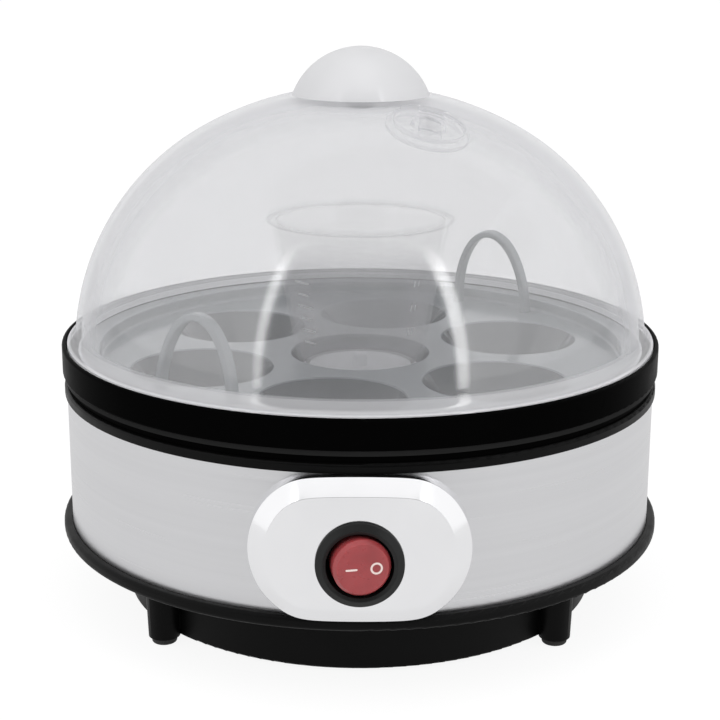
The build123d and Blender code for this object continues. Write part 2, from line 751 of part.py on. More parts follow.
def egg_tray():
    """Moulded plate with a raised rim, seven conical egg seats and slots for the handles."""
    low = TRAY_TOP - TRAY_T
    corners = [
        (0, low),
        (TRAY_R, low),
        (TRAY_R, TRAY_LEDGE_Z),
        (TRAY_RIM_R, TRAY_LEDGE_Z),
        (TRAY_RIM_R, TRAY_RIM_TOP),
        (TRAY_R - TRAY_T, TRAY_RIM_TOP),
        (TRAY_R - TRAY_T, TRAY_TOP),
        (0, TRAY_TOP),
    ]
    tray = turned(corners, {1: 1.2, 4: 0.6, 5: 0.5, 6: 1.0})
    cone_h = TRAY_TOP - SEAT_Z
    for x, y in seat_places():
        seat = Pos(x, y, SEAT_Z)
        tray += seat * Cone(SEAT_LOW_R + SEAT_T, SEAT_R + SEAT_T, cone_h, align=MIN_ALIGN)
    for x, y in seat_places():
        seat = Pos(x, y, SEAT_Z)
        tray -= seat * Cone(SEAT_LOW_R, SEAT_R, cone_h, align=MIN_ALIGN)
    # A narrow step in the middle seat carries the measuring cup's foot.
    cup_step = CUP_R - CUP_LEDGE
    tray += tube(seat_radius(CUP_Z) + SEAT_T / 2, cup_step, CUP_Z - CUP_LEDGE, CUP_Z)
    side_play, foot_h = CUP_PLAY
    tray -= tube(CUP_R + side_play, cup_step, CUP_Z, CUP_Z + foot_h)
    tab = Box(HANDLE_T + 2 * HANDLE_PLAY, 2 * HANDLE_TAB, HANDLE_D + 2 * HANDLE_PLAY)
    for azimuth in HANDLE_AZIMUTHS:
        for side in (-1, 1):
            tray -= handle_frame(azimuth) * Pos(side * HANDLE_HALF_W, 0, 0) * tab
    return tray


def seat_radius(z):
    """Inner radius of an egg seat at a height."""
    return SEAT_LOW_R + (SEAT_R - SEAT_LOW_R) * (z - SEAT_Z) / (TRAY_TOP - SEAT_Z)


def tray_handle(azimuth):
    """Arched strap with two tabs pushed through the plate."""
    half = HANDLE_T / 2
    rise = HANDLE_H - half
    arch = Ellipse(HANDLE_HALF_W + half, rise + half) - Ellipse(HANDLE_HALF_W - half, rise - half)
    arch &= Pos(0, HANDLE_H) * Rectangle(4 * HANDLE_HALF_W, 2 * HANDLE_H)
    strap = extrude(Pos(0, 0, -HANDLE_D / 2) * arch, amount=HANDLE_D)
    tab_l = TRAY_T + HANDLE_CLINCH
    for side in (-1, 1):
        strap += Pos(side * HANDLE_HALF_W, -tab_l / 2, 0) * Box(HANDLE_T, tab_l, HANDLE_D)
    return handle_frame(azimuth) * strap


def measuring_cup():
    """Clear tapered cup with a sunk foot, a rim bead and a nub for the piercing pin."""
    top_r = CUP_HIP[0] + CUP_SLOPE * (CUP_TOP - CUP_HIP[1])
    floor = CUP_Z + CUP_FOOT
    corners = [
        (0, floor),
        (CUP_R - CUP_T, floor),
        (CUP_R - CUP_T, CUP_Z),
        (CUP_R, CUP_Z),
        CUP_HIP,
        (top_r, CUP_TOP - CUP_RIM),
        (top_r + CUP_RIM, CUP_TOP - CUP_RIM),
        (top_r + CUP_RIM, CUP_TOP),
        (top_r - CUP_T, CUP_TOP),
        CUP_HIP_IN,
        (CUP_FLOOR_IN_R, floor + CUP_T),
        (NUB_R, floor + CUP_T),
        (NUB_R, floor + CUP_T + NUB_H),
        (0, floor + CUP_T + NUB_H),
    ]
    cup = turned(corners, {3: 0.3, 4: 1.5, 6: 0.4, 7: 0.5, 9: 1.5, 10: 0.8, 12: 1.2})
    return cup - post(0, 0, CUP_Z, floor + CUP_T + NUB_H / 2, PIN_R)


def piercing_pin():
    """Steel needle held in the nub, its point inside the cup's foot ring."""
    top = CUP_Z + CUP_FOOT + CUP_T + NUB_H / 2
    return turned([(0, PIN_TIP), (PIN_R, PIN_TIP + PIN_POINT), (PIN_R, top), (0, top)])


def arc_radius(z, wall):
    """Radius of the shoulder arc at a height, with the wall's thickness taken off."""
    return SHOULDER[0] + sqrt((SHOULDER_R - wall) ** 2 - (z - SHOULDER[1]) ** 2)


def crown():
    """Centre height and radius of the crown arc, tangent to the shoulder arc."""
    bend = radians(SHOULDER_END)
    return SHOULDER[1] - SHOULDER[0] * tan(bend), SHOULDER_R + SHOULDER[0] / cos(bend)


def crown_height(radius, wall=0.0):
    """Height of the crown arc at a radius."""
    centre, big = crown()
    return centre + sqrt((big - wall) ** 2 - radius**2)


def dome_arcs(low, wall):
    """Shoulder arc from a height up, then the crown arc to the knob seat, then the flat seat."""
    bend = radians(SHOULDER_END)
    centre, big = crown()
    first = asin((low - SHOULDER[1]) / (SHOULDER_R - wall))
    middle = (first + bend) / 2
    seat_r = KNOB_SEAT_R
    seat_angle = asin((crown_height(seat_r, wall) - centre) / (big - wall))
    crown_middle = (bend + seat_angle) / 2

    def shoulder_point(angle):
        reach = SHOULDER_R - wall
        return SHOULDER[0] + reach * cos(angle), SHOULDER[1] + reach * sin(angle)

    def crown_point(angle):
        return (big - wall) * cos(angle), centre + (big - wall) * sin(angle)

    seat = crown_point(seat_angle)
    return [
        ThreePointArc(shoulder_point(first), shoulder_point(middle), shoulder_point(bend)),
        ThreePointArc(shoulder_point(bend), crown_point(crown_middle), seat),
        Line(seat, (0, seat[1])),
    ]


def lid_dome():
    """Translucent dome with a flared lip, a flat knob seat and a sunk steam vent."""
    outer = dome_arcs(LID_FLARE_TOP, 0.0)
    inner = dome_arcs(LID_LEDGE_Z, LID_T)
    flare_r = arc_radius(LID_FLARE_TOP, 0.0)
    inner_r = arc_radius(LID_LEDGE_Z, LID_T)
    bend = (flare_r + FLARE_BEND[0], LID_LIP_TOP + FLARE_BEND[1])
    rim = [
        Line((inner_r, LID_LEDGE_Z), (LID_R, LID_LEDGE_Z)),
        Line((LID_R, LID_LEDGE_Z), (LID_R, LID_LIP_TOP)),
        ThreePointArc((LID_R, LID_LIP_TOP), bend, (flare_r, LID_FLARE_TOP)),
        Line((0, crown_height(KNOB_SEAT_R)), (0, crown_height(KNOB_SEAT_R, LID_T))),
    ]
    dome = revolve(Plane.XZ * make_face(outer + inner + rim), Axis.Z)
    vent_r = hypot(*VENT_AT)
    centre = crown()[0]
    vent_z = crown_height(vent_r)
    facing = Plane((*VENT_AT, vent_z), z_dir=(*VENT_AT, vent_z - centre))
    well_low = -VENT_WELL_DEPTH - LID_T
    well = Cylinder(VENT_WELL_R + LID_T, LID_T + VENT_WELL_DEPTH / 2, align=MIN_ALIGN)
    dome += facing * Pos(0, 0, well_low) * well
    dome -= facing * Pos(0, 0, -VENT_WELL_DEPTH) * Cylinder(VENT_WELL_R, VENT_CUT, align=MIN_ALIGN)
    spout_r, spout_h = VENT_SPOUT
    dome += facing * Pos(0, 0, -VENT_WELL_DEPTH - 0.2) * Cylinder(spout_r, spout_h + 0.2, align=MIN_ALIGN)
    dome -= post(*VENT_AT, vent_z - VENT_CUT, vent_z + VENT_CUT, VENT_HOLE_R)
    return dome - post(0, 0, KNOB_SPHERE_Z, KNOB_SCREW_TIP, SCREW_R + KNOB_SCREW_PLAY)


def lid_knob():
    """Hollow round knob standing on the dome, with a boss for its screw."""
    seat = crown_height(KNOB_SEAT_R)
    above = post(0, 0, seat, seat + KNOB_SPHERE_R, KNOB_SPHERE_R)
    ball = Pos(0, 0, KNOB_SPHERE_Z)
    knob = ball * (Sphere(KNOB_SPHERE_R) - Sphere(KNOB_SPHERE_R - KNOB_T))
    knob += ball * Sphere(KNOB_SPHERE_R) & post(0, 0, seat, seat + KNOB_SPHERE_R, KNOB_BOSS_R)
    knob = knob & above
    return knob - post(0, 0, seat, KNOB_SCREW_TIP + 0.5, SCREW_R + THREAD_PLAY)


def knob_screw():
    """Screw from inside the dome up into the knob."""
    seat = crown_height(KNOB_SEAT_R, LID_T)
    return screw(0, 0, seat, KNOB_SCREW_TIP, *KNOB_SCREW_HEAD, SCREW_R)


parts = {
    "base_cover": base_cover(),
    "base_screws": base_screws(),
    "steel_band": steel_band(),
    "body_housing": body_housing(),
    "upper_ring": upper_ring(),
    "pan_seal": pan_seal(),
    "heating_pan": heating_pan(),
    "heat_spreader": heat_spreader(),
    "heating_element": heating_element(),
    "thermostat": thermostat(),
    "thermostat_bracket": thermostat_bracket(),
    "bracket_screws": bracket_screws(),
    "thermal_fuse": thermal_fuse(),
    "fuse_sleeve": fuse_sleeve(),
    "fuse_strap": fuse_strap(),
    "terminal_block": terminal_block(),
    "switch_panel": switch_panel(),
    "panel_screws": panel_screws(),
    "switch_body": switch_body(),
    "switch_terminals": switch_terminals(),
    "rocker": rocker(),
    "neon_lamp": neon_lamp(),
    "cord_gland": cord_gland(),
    "egg_tray": egg_tray(),
    "tray_handle_right": tray_handle(HANDLE_AZIMUTHS[0]),
    "tray_handle_left": tray_handle(HANDLE_AZIMUTHS[1]),
    "measuring_cup": measuring_cup(),
    "piercing_pin": piercing_pin(),
    "lid_dome": lid_dome(),
    "lid_knob": lid_knob(),
    "knob_screw": knob_screw(),
}
parts.update({f"foot_pad_{place}": foot_pad(azimuth) for place, azimuth in FOOT_AZIMUTHS.items()})
parts.update(wires())

os.makedirs("parts", exist_ok=True)
for node, shape in parts.items():
    export_step(shape, f"parts/{node}.step")
    print(node, len(shape.solids()), "solid", round(shape.volume), "mm3")
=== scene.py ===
# %% [markdown]
# # An electric egg cooker
#
# The cooker is a round heating base with a steel band, a lift-out tray for seven eggs, a clear
# measuring cup and a milky dome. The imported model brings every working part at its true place.
# This notebook gives those parts their finishes and makes the pieces whose soft edges or printed
# marks need a finer surface. Lengths are in metres, Z is up and the switch faces -Y.

# %% Load the working parts
import json
import math

import bmesh
import bpy
import numpy as np
from mathutils import Matrix, Vector


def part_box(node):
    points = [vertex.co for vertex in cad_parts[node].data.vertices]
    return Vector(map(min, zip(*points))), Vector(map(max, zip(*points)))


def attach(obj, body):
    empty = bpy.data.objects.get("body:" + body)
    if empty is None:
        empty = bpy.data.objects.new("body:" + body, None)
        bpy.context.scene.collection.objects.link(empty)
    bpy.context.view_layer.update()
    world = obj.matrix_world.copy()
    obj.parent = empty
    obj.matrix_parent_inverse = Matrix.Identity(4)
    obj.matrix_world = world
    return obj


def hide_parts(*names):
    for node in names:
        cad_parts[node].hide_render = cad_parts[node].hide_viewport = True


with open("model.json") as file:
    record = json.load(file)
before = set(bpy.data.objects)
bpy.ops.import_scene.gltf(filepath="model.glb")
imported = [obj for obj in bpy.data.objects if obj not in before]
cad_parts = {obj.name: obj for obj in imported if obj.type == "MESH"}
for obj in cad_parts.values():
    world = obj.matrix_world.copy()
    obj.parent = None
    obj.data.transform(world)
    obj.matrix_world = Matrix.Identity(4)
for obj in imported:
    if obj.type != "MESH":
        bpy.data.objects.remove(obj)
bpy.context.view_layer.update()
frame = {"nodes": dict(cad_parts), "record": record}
scene = bpy.context.scene
scene.view_settings.view_transform = "Standard"
MM = 0.001

# %% [markdown]
# ## The camera
#
# A product photograph like this is taken from a little above, close to the object. Camera height,
# distance and lens can be found by matching the ellipses of two rings of known size. The camera
# stands half a metre from the axis, looks down fifteen degrees and is rolled a trifle.

# %% Place the camera
CAMERA_AT = (-0.0004, -0.4916, 0.2065)
CAMERA_PITCH = math.radians(15.489)
CAMERA_YAW = math.radians(0.042)
CAMERA_ROLL = math.radians(0.171)
CAMERA_LENS = 83.97

camera = bpy.data.objects.new("camera", bpy.data.cameras.new("camera"))
scene.collection.objects.link(camera)
scene.camera = camera
camera.data.lens = CAMERA_LENS
level = Matrix.Rotation(-CAMERA_YAW, 4, "Z") @ Matrix.Rotation(math.pi / 2 - CAMERA_PITCH, 4, "X")
camera.matrix_world = Matrix.Translation(CAMERA_AT) @ level @ Matrix.Rotation(CAMERA_ROLL, 4, "Z")
print("camera looks down", round(math.degrees(CAMERA_PITCH), 2), "degrees")

# %% [markdown]
# ## Small helpers for shader nodes
#
# A finish is a tree of nodes. Adding nodes one by one makes long code, so one helper adds a node,
# sets its options and either sets or links each input. The others give arithmetic, a change of
# range, a place in space, and the kind of ray that meets a surface.


# %% Define the node helpers
def add_node(tree, kind, options=None, **inputs):
    """Adds a node to a tree and sets or links its inputs. An input is named as in Blender, with _ for a
    space, or by its place as in0, in1."""
    made = tree.nodes.new(kind)
    for key, value in (options or {}).items():
        setattr(made, key, value)
    for key, value in inputs.items():
        place = int(key[2:]) if key[:2] == "in" and key[2:].isdigit() else key.replace("_", " ")
        socket = made.inputs[place]
        if isinstance(value, bpy.types.NodeSocket):
            tree.links.new(value, socket)
        else:
            socket.default_value = value
    return made


def sum_of(tree, operation, first, second=0.0, third=0.0):
    """One arithmetic node on numbers or sockets."""
    made = add_node(tree, "ShaderNodeMath", {"operation": operation}, in0=first, in1=second, in2=third)
    return made.outputs[0]


def ramp(tree, value, low, high, start=0.0, end=1.0, smooth=False):
    """Maps a socket from the range low..high to start..end, clamped."""
    kind = "SMOOTHSTEP" if smooth else "LINEAR"
    made = add_node(
        tree,
        "ShaderNodeMapRange",
        {"interpolation_type": kind},
        Value=value,
        From_Min=low,
        From_Max=high,
        To_Min=start,
        To_Max=end,
    )
    return made.outputs[0]


def coordinate(tree, kind):
    """One of Blender's texture coordinates."""
    return add_node(tree, "ShaderNodeTexCoord").outputs[kind]


def axes_of(tree, vector):
    """X, Y and Z of a vector."""
    return add_node(tree, "ShaderNodeSeparateXYZ", in0=vector).outputs


def seen_directly(tree):
    """1 for rays from the camera, a mirror or clear plastic, and 0 for light on dull surfaces."""
    path = add_node(tree, "ShaderNodeLightPath").outputs
    mirror = sum_of(tree, "MAXIMUM", path["Is Glossy Ray"], path["Is Transmission Ray"])
    return sum_of(tree, "MAXIMUM", path["Is Camera Ray"], mirror)


print("node helpers ready")

# %% [markdown]
# ## The studio
#
# The photograph was taken in a white room with soft light from both sides and from above. That light
# could come from an image of a studio, but plain lamps and a world made of nodes need no picture.
# Mirrors and clear plastic see a white room with one dark gap in front, where the camera stands. The
# gap draws the bell shape on the dome. A narrow strip lamp stands at each side of the gap. Only these
# two lamps are seen in mirrors, where they draw the bell's bright edges, and they fade at both ends.

# %% Build the white room
ROOM_FILL = 0.72
ROOM_GAP = 0.06
GAP_HALF_WIDTH = math.tan(math.radians(38.0))
GAP_EDGE = 0.05
LEAST_FORWARD = 0.001
GAP_TOP = (math.sin(math.radians(40.0)), math.sin(math.radians(60.0)))

room = bpy.data.worlds.new("white_room")
scene.world = room
room.use_nodes = True
tree = room.node_tree
tree.nodes.clear()


def in_front(tree, axes):
    """1 in the sector before the switch, 0 beside and behind it: sideways over forward is held against
    the gap's half width."""
    forward = sum_of(tree, "MULTIPLY", axes["Y"], -1.0)
    sideways = sum_of(tree, "ABSOLUTE", axes["X"])
    slope = sum_of(tree, "DIVIDE", sideways, sum_of(tree, "MAXIMUM", forward, LEAST_FORWARD))
    sector = ramp(tree, slope, GAP_HALF_WIDTH - GAP_EDGE, GAP_HALF_WIDTH + GAP_EDGE, 1.0, 0.0, True)
    return sum_of(tree, "MULTIPLY", sector, sum_of(tree, "GREATER_THAN", forward, 0.0))


direction = axes_of(tree, coordinate(tree, "Generated"))
below = ramp(tree, direction["Z"], *GAP_TOP, 1.0, 0.0, True)
gap = sum_of(tree, "MULTIPLY", in_front(tree, direction), below)
mirrored = ramp(tree, gap, 0.0, 1.0, 1.0, ROOM_GAP)
strength = add_node(
    tree,
    "ShaderNodeMix",
    {"data_type": "FLOAT"},
    in0=seen_directly(tree),
    in2=ROOM_FILL,
    in3=mirrored,
)
backdrop = add_node(tree, "ShaderNodeBackground", Color=(1.0, 1.0, 1.0, 1.0), Strength=strength.outputs[0])
tree.links.new(backdrop.outputs[0], add_node(tree, "ShaderNodeOutputWorld").inputs["Surface"])
print("room fill", ROOM_FILL)


# %% Hang the soft boxes
LAMP_AIM = Vector((0, 0, 0.08))


def soft_box(name, azimuth, elevation, distance, width, height, radiance, lean=0.0, fade=None):
    """Rectangular lamp aimed at the cooker, leaning in its own plane; its power is radiance times area
    times pi. With a fade, mirrors see it: at its foot it has the share fade[0] of its strength, and it
    fades out above the share fade[1] of its height."""
    side, lift = math.radians(azimuth), math.radians(elevation)
    away = Vector((math.sin(side) * math.cos(lift), -math.cos(side) * math.cos(lift), math.sin(lift)))
    lamp = bpy.data.lights.new(name, "AREA")
    lamp.shape = "RECTANGLE"
    lamp.size, lamp.size_y = width, height
    lamp.energy = radiance * width * height * math.pi
    hung = bpy.data.objects.new(name, lamp)
    facing = away.to_track_quat("Z", "Y").to_matrix().to_4x4()
    leant = Matrix.Rotation(math.radians(lean), 4, "Z")
    hung.matrix_world = Matrix.Translation(LAMP_AIM + away * distance) @ facing @ leant
    hung.visible_camera = False
    hung.visible_glossy = fade is not None
    if fade:
        lamp.use_nodes = True
        tree = lamp.node_tree
        tree.nodes.clear()
        rise = axes_of(tree, add_node(tree, "ShaderNodeNewGeometry").outputs["Parametric"])["Y"]
        foot = ramp(tree, rise, 0.0, fade[1], fade[0], 1.0)
        head = ramp(tree, rise, fade[1], 1.0, 1.0, 0.0, True)
        glow = add_node(tree, "ShaderNodeEmission", Strength=sum_of(tree, "MULTIPLY", foot, head))
        tree.links.new(glow.outputs[0], add_node(tree, "ShaderNodeOutputLight").inputs[0])
    scene.collection.objects.link(hung)


SIDE_BOX = {"elevation": 26.0, "distance": 1.5, "width": 1.1, "height": 1.7, "radiance": 0.7}
STRIP = {"elevation": 25.0, "distance": 1.4, "height": 1.8}
soft_box("left_box", -62.0, **SIDE_BOX)
soft_box("right_box", 62.0, **SIDE_BOX)
soft_box("left_strip", -39.5, width=0.08, radiance=2.2, lean=3.0, fade=(0.4, 0.7), **STRIP)
soft_box("right_strip", 39.5, width=0.12, radiance=2.7, lean=-3.0, fade=(0.6, 0.7), **STRIP)
soft_box("top_box", 0.0, 75.0, 1.4, 1.6, 1.1, 0.7)

# %% [markdown]
# ## The floor
#
# A white sweep lies under the cooker. A plain diffuse sheet would need more light to reach white than
# the object can take, so rays that see it directly get a little glow on top. Mirrors get less of that
# glow, and for them the sweep ends in front of the switch, as the dark gap does not stop at the ground.
# The shadow stays.

# %% Lay the floor
FLOOR_R = 7.0
FLOOR_TONE = 0.8
FLOOR_SEEN_TONE = 0.15
FLOOR_GLOW = 0.9
FLOOR_GLOW_MIRRORED = 0.66
SWEEP_END = (0.35, 0.7)


def grey(tone):
    """A colour with three like channels."""
    return (tone, tone, tone, 1.0)


corners = np.array([(-1, -1, 0), (1, -1, 0), (1, 1, 0), (-1, 1, 0)]) * FLOOR_R
floor_mesh = bpy.data.meshes.new("floor")
floor_mesh.from_pydata(corners.tolist(), [], [(0, 1, 2, 3)])
floor = bpy.data.objects.new("floor", floor_mesh)
scene.collection.objects.link(floor)
paper = bpy.data.materials.new("white_sweep")
paper.use_nodes = True
tree = paper.node_tree
tree.nodes.clear()
matt = add_node(tree, "ShaderNodeBsdfDiffuse", Color=grey(FLOOR_TONE))
pale = add_node(tree, "ShaderNodeBsdfDiffuse", Color=grey(FLOOR_SEEN_TONE))
direct = add_node(tree, "ShaderNodeLightPath").outputs["Is Camera Ray"]
place = axes_of(tree, coordinate(tree, "Object"))
ahead = sum_of(tree, "MULTIPLY", place["Y"], -1.0)
ended = sum_of(tree, "MULTIPLY", in_front(tree, place), ramp(tree, ahead, *SWEEP_END, smooth=True))
in_mirror = ramp(tree, ended, 0.0, 1.0, FLOOR_GLOW_MIRRORED, 0.0)
gain = add_node(tree, "ShaderNodeMix", {"data_type": "FLOAT"}, in0=direct, in2=in_mirror, in3=FLOOR_GLOW)
glow = add_node(tree, "ShaderNodeEmission", Strength=gain.outputs[0])
both = add_node(tree, "ShaderNodeAddShader", in0=pale.outputs[0], in1=glow.outputs[0])
seen = seen_directly(tree)
sheet = add_node(tree, "ShaderNodeMixShader", in0=seen, in1=matt.outputs[0], in2=both.outputs[0])
tree.links.new(sheet.outputs[0], add_node(tree, "ShaderNodeOutputMaterial").inputs["Surface"])
floor_mesh.materials.append(paper)
print("floor half width", FLOOR_R)

# %% [markdown]
# ## Moulded plastics
#
# Most of the base is injection moulded. The tool's eroded steel leaves a fine grain, and the flow
# leaves a faint cloudiness in tone and sheen. Three noises give that: one for tone, one for sheen
# and a fine one for relief. All read Object coordinates, so nothing slides. Between two heights a
# band can take a tone of its own, which is painted light: a painted highlight makes the ring's lip
# paler than its wall, and painted shade makes the tray darker below its top, in the egg seats.


# %% Define the moulded finish
NOISE_LOW, NOISE_HIGH = 0.3, 0.7
TONE_LUMP = 12 * MM
SHEEN_LUMP = 6 * MM
PAINTED_BAND_EDGE = 0.1 * MM


def new_finish(name):
    """An empty node material."""
    material = bpy.data.materials.new(name)
    material.use_nodes = True
    material.node_tree.nodes.clear()
    return material, material.node_tree


def cloud(tree, place, size, detail=2.0):
    """Noise whose lumps are about size metres across."""
    made = add_node(tree, "ShaderNodeTexNoise", Vector=place, Scale=1.0 / size, Detail=detail)
    return made.outputs["Fac"]


def tones(tree, value, dark, light):
    """A colour between dark and light, by a noise value."""
    made = add_node(tree, "ShaderNodeValToRGB", Fac=value)
    made.color_ramp.elements[0].position = NOISE_LOW
    made.color_ramp.elements[1].position = NOISE_HIGH
    made.color_ramp.elements[0].color = (*dark, 1.0)
    made.color_ramp.elements[1].color = (*light, 1.0)
    return made.outputs["Color"]


def uneven(tree, value, low, high):
    """A number between low and high, by a noise value."""
    return ramp(tree, value, NOISE_LOW, NOISE_HIGH, low, high)


def shaded(colour, share):
    """A colour made darker or lighter by a share."""
    return tuple(min(1.0, c * share) for c in colour)


def relief(tree, value, depth):
    """Bump of a depth in metres."""
    made = add_node(tree, "ShaderNodeBump", Height=value, Distance=depth, Strength=1.0)
    return made.outputs["Normal"]


def show(tree, shader):
    """Connects a shader to the material's output."""
    tree.links.new(shader, add_node(tree, "ShaderNodeOutputMaterial").inputs["Surface"])


def moulded(name, colour, rough, grain=0.0005, depth=0.00001, shine=0.5, spread=0.08, metal=0.0, painted_light_belt=None):
    """Moulded or cast surface: cloudy tone, uneven sheen and a fine grain. The last argument, if given,
    holds two heights and a tone; between those heights the surface takes that tone as painted light,
    paler for a painted highlight and darker for painted shade."""
    material, tree = new_finish(name)
    place = coordinate(tree, "Object")
    tone = tones(tree, cloud(tree, place, TONE_LUMP), shaded(colour, 1 - spread), shaded(colour, 1 + spread))
    # Painted light: between two heights the tone gives way to a painted highlight or painted shade.
    if painted_light_belt:
        height = axes_of(tree, place)["Z"]
        above = ramp(tree, height, painted_light_belt[0] - PAINTED_BAND_EDGE, painted_light_belt[0])
        below = ramp(tree, height, painted_light_belt[1], painted_light_belt[1] + PAINTED_BAND_EDGE, 1.0, 0.0)
        zone = sum_of(tree, "MULTIPLY", above, below)
        own = (*painted_light_belt[2], 1.0)
        mixed = add_node(tree, "ShaderNodeMix", {"data_type": "RGBA"}, in0=zone, in6=tone, in7=own)
        tone = mixed.outputs[2]
    shader = add_node(
        tree,
        "ShaderNodeBsdfPrincipled",
        Base_Color=tone,
        Roughness=uneven(tree, cloud(tree, place, SHEEN_LUMP), rough * 0.9, rough * 1.1),
        Normal=relief(tree, cloud(tree, place, grain), depth),
    )
    shader.inputs["Specular IOR Level"].default_value = shine
    shader.inputs["Metallic"].default_value = metal
    show(tree, shader.outputs[0])
    return material


finishes = {
    "base_plastic": moulded("base_plastic", (0.003, 0.003, 0.003), 0.42, shine=0.09),
    "collar_plastic": moulded("collar_plastic", (0.0025, 0.0025, 0.0025), 0.4, shine=0.1),
    "ring_gloss": moulded(
        "ring_gloss",
        (0.0014, 0.0014, 0.0014),
        0.3,
        grain=0.002,
        depth=0.000001,
        shine=0.004,
        # Painted highlight: the lip under the ring is paler, as if its edge caught the light.
        painted_light_belt=(69.3 * MM, 70.75 * MM, (0.018, 0.018, 0.018)),
    ),
    "switch_black": moulded("switch_black", (0.0115, 0.012, 0.012), 0.45, grain=0.0003, shine=0.28),
    "gland_plastic": moulded("gland_plastic", (0.012, 0.012, 0.012), 0.5),
    "tray_plastic": moulded(
        "tray_plastic",
        (0.21, 0.23, 0.24),
        0.13,
        grain=0.003,
        depth=0.000001,
        shine=1.0,
        spread=0.05,
        # Painted shade: the tray is darker below its top, in the egg seats, as if they lay in shade.
        painted_light_belt=(0.0, 72.6 * MM, (0.05, 0.057, 0.061)),
    ),
    "thermostat_phenolic": moulded("thermostat_phenolic", (0.05, 0.035, 0.025), 0.5),
    "block_ceramic": moulded("block_ceramic", (0.7, 0.68, 0.62), 0.45, spread=0.04),
    "foot_rubber": moulded("foot_rubber", (0.028, 0.028, 0.027), 0.75, grain=0.0003, depth=0.00003),
    "seal_silicone": moulded("seal_silicone", (0.42, 0.1, 0.07), 0.55),
    "pan_coating": moulded("pan_coating", (0.05, 0.055, 0.058), 0.4, grain=0.0007, depth=0.00001),
    "wire_brown": moulded("wire_brown", (0.16, 0.06, 0.025), 0.4),
    "wire_blue": moulded("wire_blue", (0.03, 0.1, 0.36), 0.4),
    "wire_white": moulded("wire_white", (0.66, 0.65, 0.6), 0.5),
    "spreader_aluminium": moulded("spreader_aluminium", (0.74, 0.74, 0.75), 0.38, metal=1.0, spread=0.04),
    "element_steel": moulded("element_steel", (0.28, 0.25, 0.22), 0.42, metal=1.0, spread=0.2),
    "screw_steel": moulded("screw_steel", (0.58, 0.58, 0.59), 0.28, metal=1.0, spread=0.05),
    "pin_steel": moulded("pin_steel", (0.7, 0.7, 0.71), 0.18, metal=1.0, spread=0.03),
    "terminal_brass": moulded("terminal_brass", (0.75, 0.56, 0.24), 0.3, metal=1.0, spread=0.06),
    "fuse_metal": moulded("fuse_metal", (0.62, 0.58, 0.5), 0.3, metal=1.0, spread=0.06),
}
print("moulded and cast finishes:", len(finishes))

# %% [markdown]
# ## Brushed steel
#
# The band is rolled from brushed sheet, so its scratches run round the body. A noise on Object
# coordinates would swirl, so the place on the sheet is worked out first: the angle round the axis
# times the radius, and the height. Stretching the noise along the angle makes the scratches. The
# join of the noise lies at the back, where the sheet's own seam is.


# %% Define the band's finish
FINE_SCRATCH = (12.0, 1.0, 2600.0)
BROAD_SCRATCH = (5.0, 1.0, 420.0)
SCRATCH_DEPTH = 0.0000025


def brushed_band(name, colour, radius):
    """Steel scratched round the axis: noise on (angle x radius, height), long in the first."""
    material, tree = new_finish(name)
    place = axes_of(tree, coordinate(tree, "Object"))
    front = sum_of(tree, "MULTIPLY", place["Y"], -1.0)
    along = sum_of(tree, "MULTIPLY", sum_of(tree, "ARCTAN2", place["X"], front), radius)
    sheet = add_node(tree, "ShaderNodeCombineXYZ", X=along, Z=place["Z"]).outputs[0]
    fine = add_node(tree, "ShaderNodeMapping", Vector=sheet, Scale=FINE_SCRATCH).outputs[0]
    broad = add_node(tree, "ShaderNodeMapping", Vector=sheet, Scale=BROAD_SCRATCH).outputs[0]
    scratch = cloud(tree, fine, size=1.0, detail=3.0)
    shade = cloud(tree, broad, size=1.0, detail=3.0)
    shader = add_node(
        tree,
        "ShaderNodeBsdfPrincipled",
        Base_Color=tones(tree, shade, shaded(colour, 0.98), shaded(colour, 1.02)),
        Roughness=uneven(tree, scratch, low=0.27, high=0.37),
        Normal=relief(tree, scratch, SCRATCH_DEPTH),
    )
    shader.inputs["Metallic"].default_value = 1.0
    show(tree, shader.outputs[0])
    return material


band_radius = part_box("steel_band")[1].x
finishes["band_steel"] = brushed_band("band_steel", (0.74, 0.74, 0.755), band_radius)
print("steel band radius in mm", round(band_radius / MM, 2))

# %% [markdown]
# ## Silver plating
#
# The switch panel is plated plastic with a satin silver coat. Plating follows every ripple of the
# moulding, so a slow wave in the relief and a little uneven sheen keep it from looking like glass.


# %% Define the panel's finish
def plated(name, colour):
    """Satin plating: a metal with soft waves and a cloudy sheen."""
    material, tree = new_finish(name)
    place = coordinate(tree, "Object")
    shader = add_node(
        tree,
        "ShaderNodeBsdfPrincipled",
        Base_Color=tones(tree, cloud(tree, place, size=0.02), shaded(colour, 0.985), shaded(colour, 1.015)),
        Roughness=uneven(tree, cloud(tree, place, size=0.004), low=0.15, high=0.19),
        Normal=relief(tree, cloud(tree, place, size=0.015), depth=0.00002),
    )
    shader.inputs["Metallic"].default_value = 1.0
    show(tree, shader.outputs[0])
    return material


finishes["panel_chrome"] = plated("panel_chrome", (0.95, 0.95, 0.965))
print("plating ready")

# %% [markdown]
# ## Milky and clear plastics
#
# The lid is natural polypropylene: light goes straight through it, but a share is scattered and
# veils what is behind. A volume inside the wall would be the true model, yet it is slow and noisy.
# Here each face of the wall lets most light pass, scatters a share to both sides and mirrors a few per
# cent, more towards grazing. A slanting ray meets more plastic, so the lid's veil grows with the slant.
# It is thicker at the lid's lip, near the knob and in the cup's floor, and clears up the cup's wall.


# %% Define the see-through finishes
GRAZING_MIRROR = 0.14
SLANT_FROM = 0.5
VEIL_LUMP = 30 * MM
SKIN_LUMP = 10 * MM
RIM_LINE = (0.1 * MM, 0.25 * MM)
NUB_EDGE = 0.2 * MM
ZONE_EDGE = 0.4 * MM
BACK_FROM = 50 * MM


